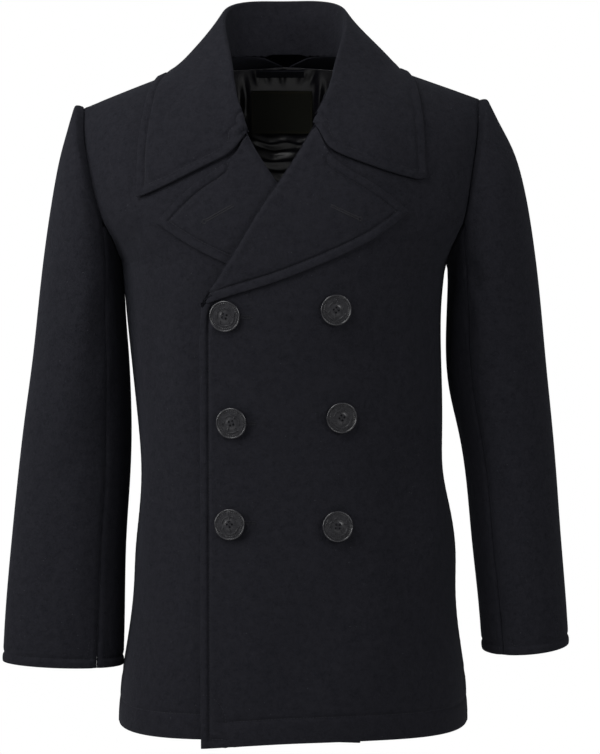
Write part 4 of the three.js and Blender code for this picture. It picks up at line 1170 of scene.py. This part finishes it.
RELIEF = [
    {"path": [(0.0, 5.4), (0.0, 9.4)], "thick": 0.85},
    {"path": [(0.0, -5.4), (0.0, -10.8)], "thick": 0.85},
    {"path": arc(1.35, 0, 360, (0.0, 11.0)), "thick": 0.55},
    {"path": [(-5.0, 8.0), (0.0, 8.4), (5.0, 8.0)], "thick": 0.75},
    {"path": arc(9.8, 200, 340, (0.0, -1.2), 22), "thick": 0.95},
    {"path": [(-11.6, -2.4), (-9.2, -4.6), (-7.0, -2.6)], "thick": 0.75},
    {"path": [(11.6, -2.4), (9.2, -4.6), (7.0, -2.6)], "thick": 0.75},
    {"path": arc(8.8, 12, 58), "thick": 0.65},
    {"path": arc(8.8, 122, 168), "thick": 0.65},
]


def tube(path, thick, height):
    curve = bpy.data.curves.new("tube", "CURVE")
    curve.dimensions = "3D"
    curve.bevel_depth = thick * MM
    curve.bevel_resolution = 1
    curve.use_fill_caps = True
    line = curve.splines.new("POLY")
    line.points.add(len(path) - 1)
    for point, (x, y) in zip(line.points, path):
        point.co = (x * MM, y * MM, height * MM, 1.0)
    piece = bpy.data.objects.new("tube", curve)
    SCENE.collection.objects.link(piece)
    select_only(piece)
    bpy.ops.object.convert(target="MESH")
    return bpy.context.object


ROPE_RADIUS = 13.7  # millimetres
ROPE_STRANDS = 40
STRAND_SLANT = 0.55
STRAND_SIZE = (2.4 * MM, 1.15 * MM, 1.1 * MM)


def rope_ring():
    spots = []
    for k in range(ROPE_STRANDS):
        angle = 2 * math.pi * k / ROPE_STRANDS
        ray = np.array((math.cos(angle), math.sin(angle), 0.0))
        turn = np.array((-math.sin(angle), math.cos(angle), 0.0))
        along = unit((turn + STRAND_SLANT * ray)[None, :])[0]
        place = ray * ROPE_RADIUS * MM + np.array((0, 0, FACE * MM))
        spots.append((place, along, np.array((0.0, 0.0, 1.0)), STRAND_SIZE))
    return lay_threads("rope_ring", spots, button_plastic, "button")


def make_button():
    disc = turned_disc()
    bore_holes(disc)
    parts = [disc, rope_ring()] + [tube(row["path"], row["thick"], FACE) for row in RELIEF]
    bpy.ops.object.select_all(action="DESELECT")
    for part in parts:
        part.select_set(True)
    bpy.context.view_layer.objects.active = disc
    bpy.ops.object.join()
    select_only(disc)
    bpy.ops.object.shade_smooth_by_angle(angle=math.radians(38))
    return vertex_values(disc, "co"), disc


button_points, button_form = make_button()
print("button", len(button_form.data.polygons), "faces")

# %% [markdown]
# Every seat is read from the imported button: its middle, and the way its flat side faces.
# Two slanting bars of thread cross the holes of each one.

# %% Buttons in their places
# Each button has its own small turn, in radians.
BUTTONS = [
    {"node": "button_right_top", "turn": 0.5},
    {"node": "button_right_middle", "turn": -0.5},
    {"node": "button_right_bottom", "turn": 0.1},
    {"node": "button_left_top", "turn": -0.15},
    {"node": "button_left_middle", "turn": 0.2},
    {"node": "button_left_bottom", "turn": 0.7},
]


def seat_of(node):
    """Middle of a packed button and three directions: across, up its face, and outward."""
    points = vertex_values(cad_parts[node], "co")
    low, high = points.min(0), points.max(0)
    middle = (low + high) / 2
    out = np.linalg.svd(points - points.mean(0), full_matrices=False)[2][2]
    out = out if out[1] < 0 else -out
    across = unit(np.cross(np.array((0.0, 0.0, 1.0)), out)[None, :])[0]
    return middle, across, np.cross(out, across), out


def place_button(node, middle, right, top, out):
    """A copy of the button with its own mesh, moved to its seat."""
    button = button_form.copy()
    button.data = button_form.data.copy()
    button.name = node + "_moulded"
    SCENE.collection.objects.link(button)
    set_points(button, middle + button_points @ np.array([right, top, out]))
    button.vertex_groups.clear()
    button.data.materials.clear()
    button.data.materials.append(button_plastic)
    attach(button, "root")
    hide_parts(node)


BAR_LENGTH = 1.5 * BUTTON["hole_circle"] * MM
BAR_LIFT = (FACE + 0.45) * MM
BAR_STRAND = (BAR_LENGTH, 0.62 * MM, 0.75 * MM)
STRAND_GAP = 0.28 * MM


def bars_of_thread(middle, right, top, out):
    """Two bars of three strands each, from hole to hole."""
    bar = unit((right - top)[None, :])[0]
    strands = []
    for side in (-1, 1):
        offset = (right + top) * side * BUTTON["hole_circle"] * MM / 2
        for strand in (-1, 0, 1):
            place = middle + offset + (right + top) * strand * STRAND_GAP + out * BAR_LIFT
            strands.append((place, bar, out, BAR_STRAND))
    return strands


sewing = []
for row in BUTTONS:
    middle, across, up, out = seat_of(row["node"])
    cos, sin = math.cos(row["turn"]), math.sin(row["turn"])
    right, top = across * cos + up * sin, up * cos - across * sin
    place_button(row["node"], middle, right, top, out)
    sewing += bars_of_thread(middle, right, top, out)
bpy.data.objects.remove(button_form, do_unlink=True)
lay_threads("button_sewing", sewing, navy_thread, "button")

# %% [markdown]
# The room is white all round, and a pale floor lies far below the hanging coat. The main light
# is near and above, so the chest is brighter than the hem. A weaker one fills from the right,
# one at the side runs along the sleeve, and one above picks out the shoulders.

# %% Floor and lights
FLOOR_HEIGHT = -1.42
FLOOR_RADIUS = 2.4
LIGHT_AIM = Vector((0.0, 0.0, -0.15))


def make_floor():
    bpy.ops.object.select_all(action="DESELECT")
    bpy.ops.mesh.primitive_circle_add(
        vertices=96, radius=FLOOR_RADIUS, fill_type="NGON", location=(0, 0, FLOOR_HEIGHT)
    )
    floor = bpy.context.object
    floor.name = "studio_floor"
    material, tree, shader = new_material("pale_floor")
    shader.inputs["Base Color"].default_value = (0.9, 0.9, 0.9, 1)
    shader.inputs["Roughness"].default_value = 0.9
    floor.data.materials.append(material)


LIGHTS = [
    {"name": "main_softbox", "place": (-0.75, -1.00, 0.95), "size": 0.9, "power": 17.5},
    {"name": "right_softbox", "place": (1.60, -1.50, 0.50), "size": 1.0, "power": 19.0},
    {"name": "side_softbox", "place": (-1.90, -0.80, 0.05), "size": 1.0, "power": 26.0},
    {"name": "top_softbox", "place": (0.00, 0.30, 1.60), "size": 1.2, "power": 5.0},
]


def add_softbox(row):
    bpy.ops.object.select_all(action="DESELECT")
    bpy.ops.object.light_add(type="AREA", location=row["place"])
    light = bpy.context.object
    light.name = row["name"]
    light.data.shape = "SQUARE"
    light.data.size = row["size"]
    light.data.energy = row["power"]
    aim = LIGHT_AIM - Vector(row["place"])
    light.rotation_euler = aim.to_track_quat("-Z", "Y").to_euler()


def make_world(seen, cast):
    """A white room that is fully white to the camera and gives a softer light to the coat."""
    world = bpy.data.worlds.new("white_room")
    SCENE.world = world
    world.use_nodes = True
    tree = world.node_tree
    ray = add_node(tree, "ShaderNodeLightPath").outputs["Is Camera Ray"]
    back = tree.nodes["Background"]
    back.inputs["Color"].default_value = (1, 1, 1, 1)
    tree.links.new(remap(tree, ray, 0.0, 1.0, cast, seen), back.inputs["Strength"])


make_floor()
for row in LIGHTS:
    add_softbox(row)
make_world(seen=1.0, cast=0.15)
print("lights", ", ".join(row["name"] for row in LIGHTS))
SCENE.view_settings.view_transform = "Standard"
